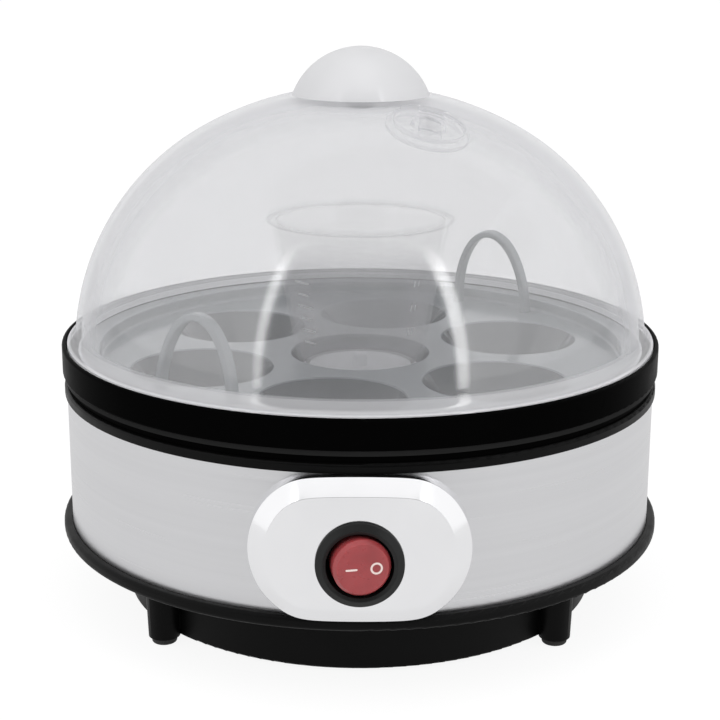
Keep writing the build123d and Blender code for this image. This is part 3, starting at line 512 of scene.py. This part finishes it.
def slant(tree):
    """1 less the cosine between the ray and the surface's normal."""
    return add_node(tree, "ShaderNodeLayerWeight", Blend=0.5).outputs["Facing"]


def mirror_share(tree, straight):
    """Share seen straight on, plus the rest up to the grazing one times the slant to the fifth power."""
    rise = sum_of(tree, "POWER", slant(tree), 5.0)
    return sum_of(tree, "MULTIPLY_ADD", rise, GRAZING_MIRROR - straight, straight)


def see_through(
    name,
    haze,
    colour,
    passed,
    rough,
    spread=0.05,
    mirror=0.04,
    edge=1.0,
    zones=(),
    nub=None,
    clears=None,
    cap=None,
    rim=None,
):
    """Wall face that passes, veils and mirrors light. A thick veil throws more light back, and a slanting
    ray meets more of it, by the factor edge. Each zone is a height, the least share of veil below it at the
    front, and what is left of that at the back. A nub on the axis of radius nub[0] raises those heights by
    nub[1]. The veil clears from the height clears[0] up to clears[1], where the share clears[2] is left. On
    the axis it is at least cap[1], less and less out to the radius cap[0], and on a line at the height
    rim[0] it is at least rim[1]."""
    material, tree = new_finish(name)
    place = coordinate(tree, "Object")
    along = axes_of(tree, place)
    flat = add_node(tree, "ShaderNodeVectorMath", {"operation": "MULTIPLY"}, in0=place, in1=(1.0, 1.0, 0.0))
    length = add_node(tree, "ShaderNodeVectorMath", {"operation": "LENGTH"}, in0=flat.outputs[0])
    reach = length.outputs["Value"]
    height = along["Z"]
    share = uneven(tree, cloud(tree, place, VEIL_LUMP), haze * (1 - spread), haze * (1 + spread))
    share = sum_of(tree, "MULTIPLY", share, ramp(tree, slant(tree), SLANT_FROM, 1.0, 1.0, edge))
    if clears:
        left = ramp(tree, height, clears[0], clears[1], 1.0, clears[2], True)
        share = sum_of(tree, "MULTIPLY", share, left)
    if cap:
        share = sum_of(tree, "MAXIMUM", share, ramp(tree, reach, 0.0, cap[0], cap[1], 0.0, True))
    if rim:
        apart = sum_of(tree, "ABSOLUTE", sum_of(tree, "SUBTRACT", height, rim[0]))
        share = sum_of(tree, "MAXIMUM", share, ramp(tree, apart, *RIM_LINE, rim[1], 0.0))
    if nub:
        raised = ramp(tree, reach, nub[0], nub[0] + NUB_EDGE, nub[1], 0.0)
        height = sum_of(tree, "SUBTRACT", height, raised)
    for top, least, rear in zones:
        depth = ramp(tree, along["Y"], 0.0, BACK_FROM, least, least * rear, True)
        below = ramp(tree, height, top, top + ZONE_EDGE, 1.0, 0.0)
        share = sum_of(tree, "MAXIMUM", share, sum_of(tree, "MULTIPLY", depth, below))
    veil = add_node(
        tree,
        "ShaderNodeMixShader",
        in0=sum_of(tree, "MULTIPLY_ADD", share, -0.5, 0.5),
        in1=add_node(tree, "ShaderNodeBsdfDiffuse", Color=(*colour, 1.0)).outputs[0],
        in2=add_node(tree, "ShaderNodeBsdfTranslucent", Color=(*colour, 1.0)).outputs[0],
    )
    clear = add_node(tree, "ShaderNodeBsdfTransparent", Color=(*passed, 1.0))
    wall = add_node(tree, "ShaderNodeMixShader", in0=share, in1=clear.outputs[0], in2=veil.outputs[0])
    sheen = uneven(tree, cloud(tree, place, SKIN_LUMP), rough * 0.9, rough * 1.1)
    skin = add_node(tree, "ShaderNodeBsdfGlossy", Color=(1.0, 1.0, 1.0, 1.0), Roughness=sheen)
    bounced = mirror_share(tree, mirror)
    shader = add_node(tree, "ShaderNodeMixShader", in0=bounced, in1=wall.outputs[0], in2=skin.outputs[0])
    show(tree, shader.outputs[0])
    return material


CUP_FLOOR_RISE = 2.45 * MM
CUP_BEAD = 1.4 * MM
PLASTIC_TINT = (0.98, 0.98, 0.985)

cup_low, cup_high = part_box("measuring_cup")
lip_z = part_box("lid_dome")[0].z
finishes["lid_milky"] = see_through(
    "lid_milky",
    0.108,
    (0.88, 0.88, 0.9),
    PLASTIC_TINT,
    0.08,
    mirror=0.1,
    edge=6.0,
    zones=((lip_z + 5.6 * MM, 0.42, 0.2), (lip_z + 2.4 * MM, 0.74, 0.2), (lip_z + 2.0 * MM, 0.97, 1.0)),
    cap=(40 * MM, 0.9),
)
finishes["knob_milky"] = see_through("knob_milky", 0.9, (0.76, 0.76, 0.775), PLASTIC_TINT, 0.12)
finishes["cup_clear"] = see_through(
    "cup_clear",
    0.2,
    (0.98, 0.98, 0.99),
    (0.995, 0.995, 0.995),
    0.05,
    mirror=0.03,
    zones=((cup_low.z + CUP_FLOOR_RISE, 0.95, 1.0),),
    nub=(2.6 * MM, 4.2 * MM),
    clears=(92 * MM, 104 * MM, 0.1),
    rim=(cup_high.z - CUP_BEAD, 0.5),
)
finishes["lamp_glass"] = see_through("lamp_glass", 0.1, (0.9, 0.7, 0.6), (0.97, 0.95, 0.93), 0.03)
print("see-through finishes ready")

# %% [markdown]
# ## The rocker's red and the fuse's sleeve
#
# The rocker is clear red plastic with a glow lamp behind it. Some light enters and comes back
# redder, which a little subsurface scattering gives. The sleeve on the fuse is woven glass fibre:
# two wave patterns, crossed, make its over and under.


# %% Define the red plastic and the woven sleeve
WAVE_SCALE = 0.3


def clear_red(name, colour):
    """Tinted plastic that scatters a little light below its surface."""
    material, tree = new_finish(name)
    place = coordinate(tree, "Object")
    shader = add_node(
        tree,
        "ShaderNodeBsdfPrincipled",
        Base_Color=tones(tree, cloud(tree, place, size=0.006), shaded(colour, 0.9), shaded(colour, 1.1)),
        Roughness=uneven(tree, cloud(tree, place, size=0.002), low=0.26, high=0.34),
        Normal=relief(tree, cloud(tree, place, size=0.0006), depth=0.000004),
    )
    shader.inputs["Subsurface Weight"].default_value = 0.25
    shader.inputs["Subsurface Radius"].default_value = (0.002, 0.0003, 0.0003)
    shader.inputs["Subsurface Scale"].default_value = 1.0
    show(tree, shader.outputs[0])
    return material


def woven(name, colour, pitch):
    """Two crossed waves on Object coordinates, one along X and one along Z."""
    material, tree = new_finish(name)
    place = coordinate(tree, "Object")
    scale = WAVE_SCALE / pitch
    warp = add_node(tree, "ShaderNodeTexWave", {"bands_direction": "X"}, Vector=place, Scale=scale)
    weft = add_node(tree, "ShaderNodeTexWave", {"bands_direction": "Z"}, Vector=place, Scale=scale)
    weave = sum_of(tree, "MULTIPLY", warp.outputs["Fac"], weft.outputs["Fac"])
    shader = add_node(
        tree,
        "ShaderNodeBsdfPrincipled",
        Base_Color=tones(tree, weave, shaded(colour, 0.75), colour),
        Roughness=0.85,
        Normal=relief(tree, weave, depth=0.0001),
    )
    show(tree, shader.outputs[0])
    return material


finishes["rocker_red"] = clear_red("rocker_red", (0.36, 0.055, 0.06))
finishes["sleeve_fibre"] = woven("sleeve_fibre", (0.72, 0.68, 0.58), 0.0008)
print("finishes in all:", len(finishes))

# %% [markdown]
# ## Dressing the working parts
#
# The record names a finish for every part, so one loop can dress them all. Pieces made below take
# theirs from the same list.

# %% Dress every part
slot_of = {row["node"]: row["material_slot"] for row in frame["record"]["subparts"]}
for name, part in frame["nodes"].items():
    for held in part.material_slots:
        held.material = finishes[slot_of[name]]
print("dressed", len(slot_of), "parts")

# %% [markdown]
# ## Making a piece from a grid
#
# A turned part is an outline carried round an axis: a grid of points whose rows follow the outline
# and whose columns follow the angle. Blender's Spin tool does the same by hand. Working it out with
# whole arrays keeps the outline readable, and the same grid of faces serves every piece here.


# %% Define the grid helpers
TURN_STEPS = 240


def rounded(corners, radii, steps=6):
    """Outline with some corners rounded: each arc touches both sides and is drawn in even steps."""
    corners = np.asarray(corners, float)
    pieces = []
    for i, corner in enumerate(corners):
        radius = radii.get(i, 0.0)
        if radius == 0.0:
            pieces.append(corner[None])
            continue
        before = corners[i - 1] - corner
        after = corners[(i + 1) % len(corners)] - corner
        before, after = before / np.linalg.norm(before), after / np.linalg.norm(after)
        half = math.acos(np.clip(before @ after, -1, 1)) / 2
        centre = corner + (before + after) / np.linalg.norm(before + after) * radius / math.sin(half)
        reach = radius / math.tan(half)
        start, end = corner + before * reach - centre, corner + after * reach - centre
        share = np.linspace(0, 1, steps)[:, None]
        sweep = math.acos(np.clip(start @ end / radius**2, -1, 1))
        blend = np.sin((1 - share) * sweep) * start + np.sin(share * sweep) * end
        pieces.append(centre + blend / math.sin(sweep))
    return np.concatenate(pieces)


def arc(centre, radius, start, end, steps):
    """Centre plus radius times (cosine, sine) of an even run of angles in degrees."""
    angle = np.radians(np.linspace(start, end, steps))
    return np.column_stack([centre[0] + radius * np.cos(angle), centre[1] + radius * np.sin(angle)])


def grid_faces(rows, columns, close_rows=True, close_columns=True):
    """Quads between neighbouring points of a grid; a closed direction wraps round."""
    index = np.arange(rows * columns).reshape(rows, columns)
    down = np.roll(index, -1, 0)
    if not close_rows:
        index, down = index[:-1], down[:-1]
    quads = np.stack([index, np.roll(index, -1, 1), np.roll(down, -1, 1), down], -1)
    if not close_columns:
        quads = quads[:, :-1]
    return quads.reshape(-1, 4)


def turned(outline, placed=Matrix.Identity(4), steps=TURN_STEPS):
    """Points (radius x cosine, radius x sine, height) for each outline point and each angle."""
    angle = np.linspace(0, 2 * np.pi, steps, endpoint=False)
    radius, height = np.asarray(outline, float).T
    round_parts = [np.cos(angle), np.sin(angle)]
    points = np.stack([np.outer(radius, p) for p in round_parts] + [np.outer(height, np.ones(steps))], -1)
    return moved(points.reshape(-1, 3), placed), grid_faces(len(radius), steps)


def moved(points, placed):
    """Points times a 4 x 4 matrix."""
    matrix = np.array(placed)
    return points @ matrix[:3, :3].T + matrix[:3, 3]


def bare_piece(name, points, faces):
    """Mesh object from points in metres and a list of faces; points that meet are merged."""
    mesh = bpy.data.meshes.new(name)
    mesh.from_pydata(points.tolist(), [], [list(f) for f in faces])
    work = bmesh.new()
    work.from_mesh(mesh)
    bmesh.ops.remove_doubles(work, verts=work.verts, dist=1e-7)
    bmesh.ops.dissolve_degenerate(work, edges=work.edges, dist=1e-8)
    work.to_mesh(mesh)
    work.free()
    piece = bpy.data.objects.new(name, mesh)
    scene.collection.objects.link(piece)
    return piece


def seat(piece, body, slot, stands_for=(), sharp=32.0, finish=None):
    """Smooths a piece up to an angle, gives it its finish and lets it ride on its body."""
    mesh = piece.data
    mesh.polygons.foreach_set("use_smooth", np.ones(len(mesh.polygons), bool))
    mesh.set_sharp_from_angle(angle=math.radians(sharp))
    mesh.materials.clear()
    mesh.materials.append(finish or finishes[slot])
    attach(piece, body)
    if stands_for:
        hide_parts(*stands_for)
    print(piece.name, len(mesh.polygons), "faces on", body)
    return piece


print("grid helpers ready")

# %% [markdown]
# ## The lid
#
# The dome is two arcs that meet in one tangent, above a flared lip that drops into the ring. It is
# turned as one closed wall. The steam vent is a sunk cup with a short spout, off the axis, so it is
# carved with Boolean tools: a boss is added inside, then the cup and the hole are taken away. The
# cutting tool has a rounded mouth, because a real moulding has no sharp edge there.

# %% Turn the dome
LID_WALL = 1.7 * MM
SHOULDER_AT = (10.8 * MM, 75.7 * MM)
SHOULDER_R = 74.3 * MM
SHOULDER_END = 61.0
KNOB_SEAT_R = 20.6 * MM
SCREW_HOLE_R = 2.2 * MM
LIP_TOP = 79.6 * MM
LIP_EDGE = 0.3 * MM
FLARE_TOP = 82.3 * MM
FLARE_PULL = 0.5 * MM

lid_low, lid_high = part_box("lid_dome")
lip_r = lid_high.x
crown_r = SHOULDER_R + SHOULDER_AT[0] / math.cos(math.radians(SHOULDER_END))
crown_z = SHOULDER_AT[1] - SHOULDER_AT[0] * math.tan(math.radians(SHOULDER_END))


def dome_side(low, wall):
    """Shoulder arc from a height up, then crown arc to the knob's seat."""
    first = math.degrees(math.asin((low - SHOULDER_AT[1]) / (SHOULDER_R - wall)))
    last = math.degrees(math.acos(KNOB_SEAT_R / (crown_r - wall)))
    shoulder = arc(SHOULDER_AT, SHOULDER_R - wall, first, SHOULDER_END, 40)
    return np.concatenate([shoulder, arc((0, crown_z), crown_r - wall, SHOULDER_END, last, 24)[1:]])


def lid_outline():
    """Closed outline: lip, flare as a quadratic curve, outer arcs, screw hole, inner arcs back down."""
    outer, inner = dome_side(FLARE_TOP, 0.0), dome_side(lid_low.z, LID_WALL)
    lip = [
        (lip_r - LIP_EDGE, lid_low.z),
        (lip_r, lid_low.z + LIP_EDGE),
        (lip_r, LIP_TOP - LIP_EDGE),
        (lip_r - LIP_EDGE / 3, LIP_TOP - LIP_EDGE / 3),
    ]
    start, end = np.array((lip_r - LIP_EDGE, LIP_TOP)), outer[0]
    pull = np.array((outer[0, 0] + FLARE_PULL, LIP_TOP))
    share = np.linspace(0, 1, 9)[:-1, None]
    flare = start * (1 - share) ** 2 + pull * 2 * share * (1 - share) + end * share**2
    hole = [(SCREW_HOLE_R, outer[-1, 1]), (SCREW_HOLE_R, inner[-1, 1])]
    return np.concatenate([lip, flare, outer, hole, inner[::-1]])


lid_shell = bare_piece("lid_shell", *turned(lid_outline()))
print("dome height in mm", round((lid_high.z - lid_low.z) / MM, 2))

# %% Carve the steam vent
VENT_AT = Vector((19.0 * MM, -28.0 * MM))
VENT_WELL_R = 10.3 * MM
VENT_WELL_DEPTH = 2.4 * MM
VENT_HOLE_R = 3.25 * MM
VENT_SPOUT_R = 4.7 * MM
VENT_SPOUT_RISE = 1.8 * MM
VENT_REACH = 12.0 * MM
VENT_STEPS = 96
HOLE_STEPS = 64
SPOUT_DRAFT = 0.3 * MM
WELL_DRAFT = 0.2 * MM
MOUTH_DEPTH = 0.8 * MM
MOUTH_FLARE = 1.1 * MM


def carve(piece, tool, operation):
    """Joins a tool to a piece or cuts it away, and leaves plain mesh."""
    step = piece.modifiers.new(operation, "BOOLEAN")
    step.object, step.operation, step.solver = tool, operation, "EXACT"
    result = bpy.data.meshes.new_from_object(piece.evaluated_get(bpy.context.evaluated_depsgraph_get()))
    piece.modifiers.clear()
    piece.data = result
    bpy.data.objects.remove(tool)


vent_z = crown_z + math.sqrt(crown_r**2 - VENT_AT.length_squared)
vent_axis = Vector((VENT_AT.x, VENT_AT.y, vent_z - crown_z)).normalized()
upright_frame = Matrix.Translation((VENT_AT.x, VENT_AT.y, vent_z))
vent_frame = upright_frame @ vent_axis.to_track_quat("Z", "Y").to_matrix().to_4x4()
boss_r = VENT_WELL_R + LID_WALL
boss_low = -VENT_WELL_DEPTH - LID_WALL
boss_outline = [(0, boss_low), (boss_r, boss_low), (boss_r, -LID_WALL), (0, -LID_WALL)]
spout_top = VENT_SPOUT_RISE - VENT_WELL_DEPTH
well_outline = [
    (0, spout_top),
    (VENT_SPOUT_R, spout_top),
    (VENT_SPOUT_R + SPOUT_DRAFT, -VENT_WELL_DEPTH),
    (VENT_WELL_R - WELL_DRAFT, -VENT_WELL_DEPTH),
    (VENT_WELL_R, -MOUTH_DEPTH),
    (VENT_WELL_R + MOUTH_FLARE, VENT_REACH / 20),
    (VENT_WELL_R + MOUTH_FLARE, VENT_REACH),
    (0, VENT_REACH),
]
well_rounds = {1: 0.5 * MM, 2: 0.4 * MM, 3: 0.8 * MM, 4: 1.0 * MM}
hole_outline = [(0, -VENT_REACH), (VENT_HOLE_R, -VENT_REACH), (VENT_HOLE_R, VENT_REACH), (0, VENT_REACH)]
boss = turned(rounded(boss_outline, {1: 1.0 * MM}), vent_frame, VENT_STEPS)
well = turned(rounded(well_outline, well_rounds), vent_frame, VENT_STEPS)
hole = turned(hole_outline, upright_frame, HOLE_STEPS)
carve(lid_shell, bare_piece("boss", *boss), "UNION")
carve(lid_shell, bare_piece("well", *well), "DIFFERENCE")
carve(lid_shell, bare_piece("hole", *hole), "DIFFERENCE")
seat(lid_shell, "lid", "lid_milky", ("lid_dome",), sharp=28.0)

# %% [markdown]
# ## The switch panel
#
# A bevelled oblong: two half circles joined by straight runs and trimmed level at top and bottom.
# Its corners are soft, so the half circles pass into the straight runs through smooth limits. Every
# row of its grid is that outline drawn in by an inset and set at a depth, so the bevel is a walk through
# inset and depth. On the flat front the rows pass from the oblong to the round hole.

# %% Make the panel
PANEL_ROUND_R = 20.2 * MM
PANEL_BEVEL = 4.1 * MM
PANEL_RIM_Y = -90.3 * MM
PANEL_FOOT_RIM_Y = -91.7 * MM
PANEL_SHOULDER = 2.2 * MM
PANEL_WALL = 1.8 * MM
PANEL_CLIP_POWER = 4
PANEL_FACE_START = 1.0 * MM
PANEL_FOOT_FROM = 0.75
BEVEL_ROUNDS = {1: 0.35 * MM, 2: 0.12 * MM}
ROUND_STEPS, STRAIGHT_STEPS = 30, 37
SWITCH_HOLE_R = 10.1 * MM

panel_low, panel_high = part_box("switch_panel")
switch_low, switch_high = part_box("switch_body")
panel_centre_z = (panel_low.z + panel_high.z) / 2
panel_half_h = (panel_high.z - panel_low.z) / 2
panel_centre_x = panel_high.x - PANEL_ROUND_R
switch_z = (switch_low.z + switch_high.z) / 2
face_y = panel_low.y
trim = math.acos(panel_half_h / PANEL_ROUND_R)
round_run = np.linspace(0, np.pi / 2 - trim, ROUND_STEPS)[:-1]
straight_run = np.linspace(np.pi / 2 - trim, np.pi / 2, STRAIGHT_STEPS)[:-1]
quarter = np.concatenate([round_run, straight_run])
half_turn = np.concatenate([quarter, np.pi - np.append(quarter, np.pi / 2)[:0:-1]])
panel_angle = np.concatenate([half_turn, half_turn + np.pi])


def soft_limit(value, limit):
    """Mean of the value and its limit, less half the root of their difference squared plus a shoulder
    squared."""
    return (value + limit - np.sqrt((value - limit) ** 2 + PANEL_SHOULDER**2)) / 2


def oblong(inset):
    """x = centre times softly clipped cosine, plus radius times cosine; z = radius times sine, softly
    limited to the trimmed height."""
    radius = PANEL_ROUND_R - inset
    limit = panel_half_h - inset
    side = np.cos(panel_angle) / math.sin(trim)
    spread = side / (1 + side**PANEL_CLIP_POWER) ** (1 / PANEL_CLIP_POWER)
    spread /= spread.max()
    x = panel_centre_x * spread + radius * np.cos(panel_angle)
    z = np.sign(np.sin(panel_angle)) * soft_limit(radius * np.abs(np.sin(panel_angle)), limit)
    z *= limit / soft_limit(radius, limit)
    return np.column_stack([x, z + panel_centre_z])


def ring_hole(radius):
    """Circle about the switch, with the oblong's angles."""
    return np.column_stack([radius * np.cos(panel_angle), radius * np.sin(panel_angle) + switch_z])


def at_depth(flat, y):
    """Points (x, z) set at a depth, which is one number or one for each point."""
    return np.column_stack([flat[:, 0], np.broadcast_to(y, len(flat)), flat[:, 1]])


def on_band(flat):
    """Points carried back to the steel band: y = -square root of radius squared less x squared."""
    return at_depth(flat, -np.sqrt(band_radius**2 - flat[:, 0] ** 2))


face_inset = PANEL_BEVEL + PANEL_FACE_START
bevel_corners = [(0, PANEL_RIM_Y + 1.0 * MM), (0, PANEL_RIM_Y), (PANEL_BEVEL, face_y), (face_inset, face_y)]
bevel_walk = rounded(bevel_corners, BEVEL_ROUNDS)
foot = np.clip((-np.sin(panel_angle) - PANEL_FOOT_FROM) / (1 - PANEL_FOOT_FROM), 0, 1)
inside_y = face_y + PANEL_WALL
front_edge = oblong(face_inset)
hole_edge = ring_hole(SWITCH_HOLE_R)
rows = [on_band(oblong(0.0))]
for inset, depth in bevel_walk:
    lifted = face_y + (depth - face_y) * (PANEL_FOOT_RIM_Y - face_y) / (PANEL_RIM_Y - face_y)
    rows.append(at_depth(oblong(inset), depth + (lifted - depth) * foot))
rows += [at_depth(front_edge + (hole_edge - front_edge) * s, face_y) for s in (0.25, 0.5, 0.75, 1.0)]
rows += [at_depth(hole_edge, inside_y)]
rows += [at_depth(oblong(PANEL_BEVEL + PANEL_WALL / 2), inside_y)]
rows += [at_depth(oblong(PANEL_WALL), PANEL_RIM_Y + PANEL_WALL / 2)]
rows += [on_band(oblong(PANEL_WALL))]
panel_shell = bare_piece("panel_shell", np.concatenate(rows), grid_faces(len(rows), len(panel_angle)))
seat(panel_shell, "base", "panel_chrome", ("switch_panel",), sharp=14.0)

# %% [markdown]
# ## The rocker and its marks
#
# The rocker is a round cap that tips about an upright pin. Off is pressed, on the right, so the left
# side stands out and shows its wall. It is turned about its own tilted axis, with a chamfer round
# the flat face. The two printed marks, a bar for on and a ring for off, are thin raised pieces.

# %% Turn the rocker
ROCKER_TILT = math.radians(12.0)
PIVOT_DEPTH = 0.5 * MM
CAP_R = 7.6 * MM
CAP_FACE = 4.0 * MM
CAP_FACE_R = 6.7 * MM
CAP_BACK = -5.0 * MM
CAP_BACK_R = 6.8 * MM
CAP_WALL = 1.8 * MM
CAP_CHAMFER = 1.3 * MM
CAP_EDGE = (0.25 * MM, 0.35 * MM)
CAP_STEPS = 128

switch_frame = Matrix(((1, 0, 0, 0), (0, 0, -1, face_y + PIVOT_DEPTH), (0, 1, 0, switch_z), (0, 0, 0, 1)))
rocker_frame = switch_frame @ Matrix.Rotation(ROCKER_TILT, 4, "Y")
cap_outline = [
    (CAP_BACK_R - CAP_WALL, CAP_BACK),
    (CAP_BACK_R, CAP_BACK),
    (CAP_R, CAP_BACK / 2),
    (CAP_R, CAP_FACE - CAP_CHAMFER),
    (CAP_FACE_R + CAP_EDGE[0], CAP_FACE - CAP_EDGE[1]),
    (CAP_FACE_R, CAP_FACE),
    (0, CAP_FACE),
    (0, CAP_FACE - CAP_WALL),
    (CAP_BACK_R - CAP_WALL, CAP_FACE - CAP_WALL),
]
cap_rounds = {3: 0.5 * MM, 4: 0.15 * MM, 5: 0.12 * MM}
rocker_cap = bare_piece("rocker_cap", *turned(rounded(cap_outline, cap_rounds), rocker_frame, CAP_STEPS))
seat(rocker_cap, "rocker", "rocker_red", ("rocker",))

# %% Print the two marks
MARK_RISE = 0.06 * MM
MARK_WIDTH = 0.52 * MM
BAR_STEPS, RING_STEPS = 32, 64
BAR_AT, BAR_LENGTH = -3.0 * MM, 3.1 * MM
RING_AT, RING_R = 3.5 * MM, 1.35 * MM

mark_paint = moulded("mark_paint", (0.88, 0.72, 0.68), 0.5, spread=0.03)


def raised_bar(centre_x, length, width, rise):
    """Closed strip with round ends: two half circles set apart, from just under the face to its rise."""
    angle = np.linspace(0, 2 * np.pi, BAR_STEPS, endpoint=False)
    x = centre_x + np.sign(np.cos(angle)) * (length - width) / 2 + np.cos(angle) * width / 2
    y = np.sin(angle) * width / 2
    levels = np.array([CAP_FACE - rise, CAP_FACE + rise])
    points = np.stack([np.tile(x, (2, 1)), np.tile(y, (2, 1)), np.repeat(levels[:, None], BAR_STEPS, 1)], -1)
    sides = grid_faces(2, BAR_STEPS, close_rows=False).tolist()
    under, over = list(range(BAR_STEPS)), list(range(BAR_STEPS, 2 * BAR_STEPS))
    return points.reshape(-1, 3), sides + [under[::-1], over]


bar_points, bar_faces = raised_bar(BAR_AT, BAR_LENGTH, MARK_WIDTH, MARK_RISE)
on_mark = bare_piece("on_mark", moved(bar_points, rocker_frame), bar_faces)
seat(on_mark, "rocker", "rocker_red", finish=mark_paint)
ring_low, ring_high = CAP_FACE - MARK_RISE, CAP_FACE + MARK_RISE
ring_in, ring_out = RING_R - MARK_WIDTH / 2, RING_R + MARK_WIDTH / 2
ring_outline = [(ring_in, ring_low), (ring_out, ring_low), (ring_out, ring_high), (ring_in, ring_high)]
ring_frame = rocker_frame @ Matrix.Translation((RING_AT, 0, 0))
off_mark = bare_piece("off_mark", *turned(ring_outline, ring_frame, RING_STEPS))
seat(off_mark, "rocker", "rocker_red", finish=mark_paint)

# %% [markdown]
# ## Tray handles
#
# Each handle is a moulded strap bent into a tall arch. Its path is half an ellipse with straight
# legs that pass through the tray. A rounded oblong section is carried along it, turned with the
# path, so that the strap keeps its width and its soft edges.

# %% Sweep the handles
HANDLE_AZIMUTHS = {"right": 53.0, "left": 233.0}
HANDLE_RING_R = 73.5 * MM
HANDLE_HALF_W = 13.2 * MM
HANDLE_RISE = 25.0 * MM
HANDLE_THICK = 2.2 * MM
HANDLE_DEEP = 3.6 * MM
HANDLE_LEG = 2.8 * MM
HANDLE_LEAN = math.radians(3.6)
TRAY_TOP = 73.0 * MM
PATH_STEPS, SECTION_STEPS = 60, 32
SECTION_POWER = 2 / 5


def strap(azimuth):
    """Path (w cos t, h sin t) with legs; section = superellipse of power 5 in the path's normal plane."""
    t = np.linspace(0, np.pi, PATH_STEPS)
    path = np.column_stack([HANDLE_HALF_W * np.cos(t), HANDLE_RISE * np.sin(t)])
    normal = np.column_stack([HANDLE_RISE * np.cos(t), HANDLE_HALF_W * np.sin(t)])
    normal /= np.linalg.norm(normal, axis=1)[:, None]
    leg = np.array([[0, -HANDLE_LEG]])
    path = np.concatenate([path[:1] + leg, path, path[-1:] + leg])
    normal = np.concatenate([normal[:1], normal, normal[-1:]])
    s = np.linspace(0, 2 * np.pi, SECTION_STEPS, endpoint=False)
    thick = np.sign(np.cos(s)) * np.abs(np.cos(s)) ** SECTION_POWER * HANDLE_THICK / 2
    deep = np.sign(np.sin(s)) * np.abs(np.sin(s)) ** SECTION_POWER * HANDLE_DEEP / 2
    flat = path[:, None] + normal[:, None] * thick[None, :, None]
    points = np.concatenate([flat, np.broadcast_to(deep, flat.shape[:2])[..., None]], -1).reshape(-1, 3)
    out = Vector((math.cos(math.radians(azimuth)), math.sin(math.radians(azimuth)), 0))
    upright = Matrix(((-out.y, 0, out.x, 0), (out.x, 0, out.y, 0), (0, 1, 0, 0), (0, 0, 0, 1)))
    placed = Matrix.Translation(out * HANDLE_RING_R + Vector((0, 0, TRAY_TOP))) @ upright
    placed = placed @ Matrix.Rotation(-HANDLE_LEAN, 4, "X")
    faces = grid_faces(len(path), SECTION_STEPS, close_rows=False)[:, ::-1].tolist()
    index = np.arange(len(points)).reshape(-1, SECTION_STEPS)
    return moved(points, placed), faces + [index[0].tolist(), index[-1, ::-1].tolist()]


for side, azimuth in HANDLE_AZIMUTHS.items():
    handle = bare_piece(f"handle_strap_{side}", *strap(azimuth))
    seat(handle, "tray", "tray_plastic", (f"tray_handle_{side}",), sharp=50.0)

# %% [markdown]
# ## Marks on the cup
#
# The cup has a printed scale: short bars at the left for the water level and small strokes at the
# right. Each bar is a patch of the cup's cone, raised by a hair, so it follows the wall exactly.

# %% Print the cup's scale
CUP_WALL_R = 19.15 * MM
CUP_WALL_Z = 72.0 * MM
CUP_SLOPE = 0.174
SCALE_RISE = 0.08 * MM
SCALE_LEVELS = np.array([79.5, 83.2, 86.9, 90.6, 94.3, 98.0]) * MM
CUP_BAR_AZIMUTH, CUP_BAR_HEIGHT = -46.0, 0.5 * MM
CUP_BAR_LENGTHS = (4.2 * MM, 5.8 * MM)
STROKE_AZIMUTHS = (41.5, 45.5)
STROKE_HEIGHT, STROKE_WIDTH = 1.7 * MM, 0.35 * MM
PATCH_COLUMNS = 9
PATCH_ROWS = 4

scale_paint = moulded("scale_paint", (0.85, 0.85, 0.86), 0.6, spread=0.03)


def cone_patch(azimuth, width, height, length):
    """Closed patch on the cone whose radius is wall plus slope times height: a grid of angle and height,
    doubled for thickness."""
    radius = CUP_WALL_R + CUP_SLOPE * (height - CUP_WALL_Z)
    angle = math.radians(azimuth) + np.linspace(-0.5, 0.5, PATCH_COLUMNS) * length / radius
    levels = height + np.array([-0.5, 0.5]) * width
    rows = []
    for level, rise in ((levels[0], 0), (levels[0], SCALE_RISE), (levels[1], SCALE_RISE), (levels[1], 0)):
        reach = CUP_WALL_R + CUP_SLOPE * (level - CUP_WALL_Z) + rise
        x, y = reach * np.sin(angle), -reach * np.cos(angle)
        rows.append(np.column_stack([x, y, np.full(PATCH_COLUMNS, level)]))
    sides = grid_faces(PATCH_ROWS, PATCH_COLUMNS, close_columns=False)
    index = np.arange(PATCH_ROWS * PATCH_COLUMNS).reshape(PATCH_ROWS, PATCH_COLUMNS)
    return np.concatenate(rows), np.concatenate([sides, [index[::-1, 0], index[:, -1]]])


patches = [
    cone_patch(CUP_BAR_AZIMUTH, CUP_BAR_HEIGHT, height, CUP_BAR_LENGTHS[i % 2])
    for i, height in enumerate(SCALE_LEVELS)
]
patches += [
    cone_patch(azimuth, STROKE_HEIGHT, height, STROKE_WIDTH)
    for height in SCALE_LEVELS[1::2]
    for azimuth in STROKE_AZIMUTHS
]
patch_points = np.concatenate([points for points, faces in patches])
patch_size = PATCH_ROWS * PATCH_COLUMNS
patch_faces = np.concatenate([faces + patch_size * i for i, (_, faces) in enumerate(patches)])
cup_scale = bare_piece("cup_scale", patch_points, patch_faces)
seat(cup_scale, "cup", "cup_clear", finish=scale_paint)
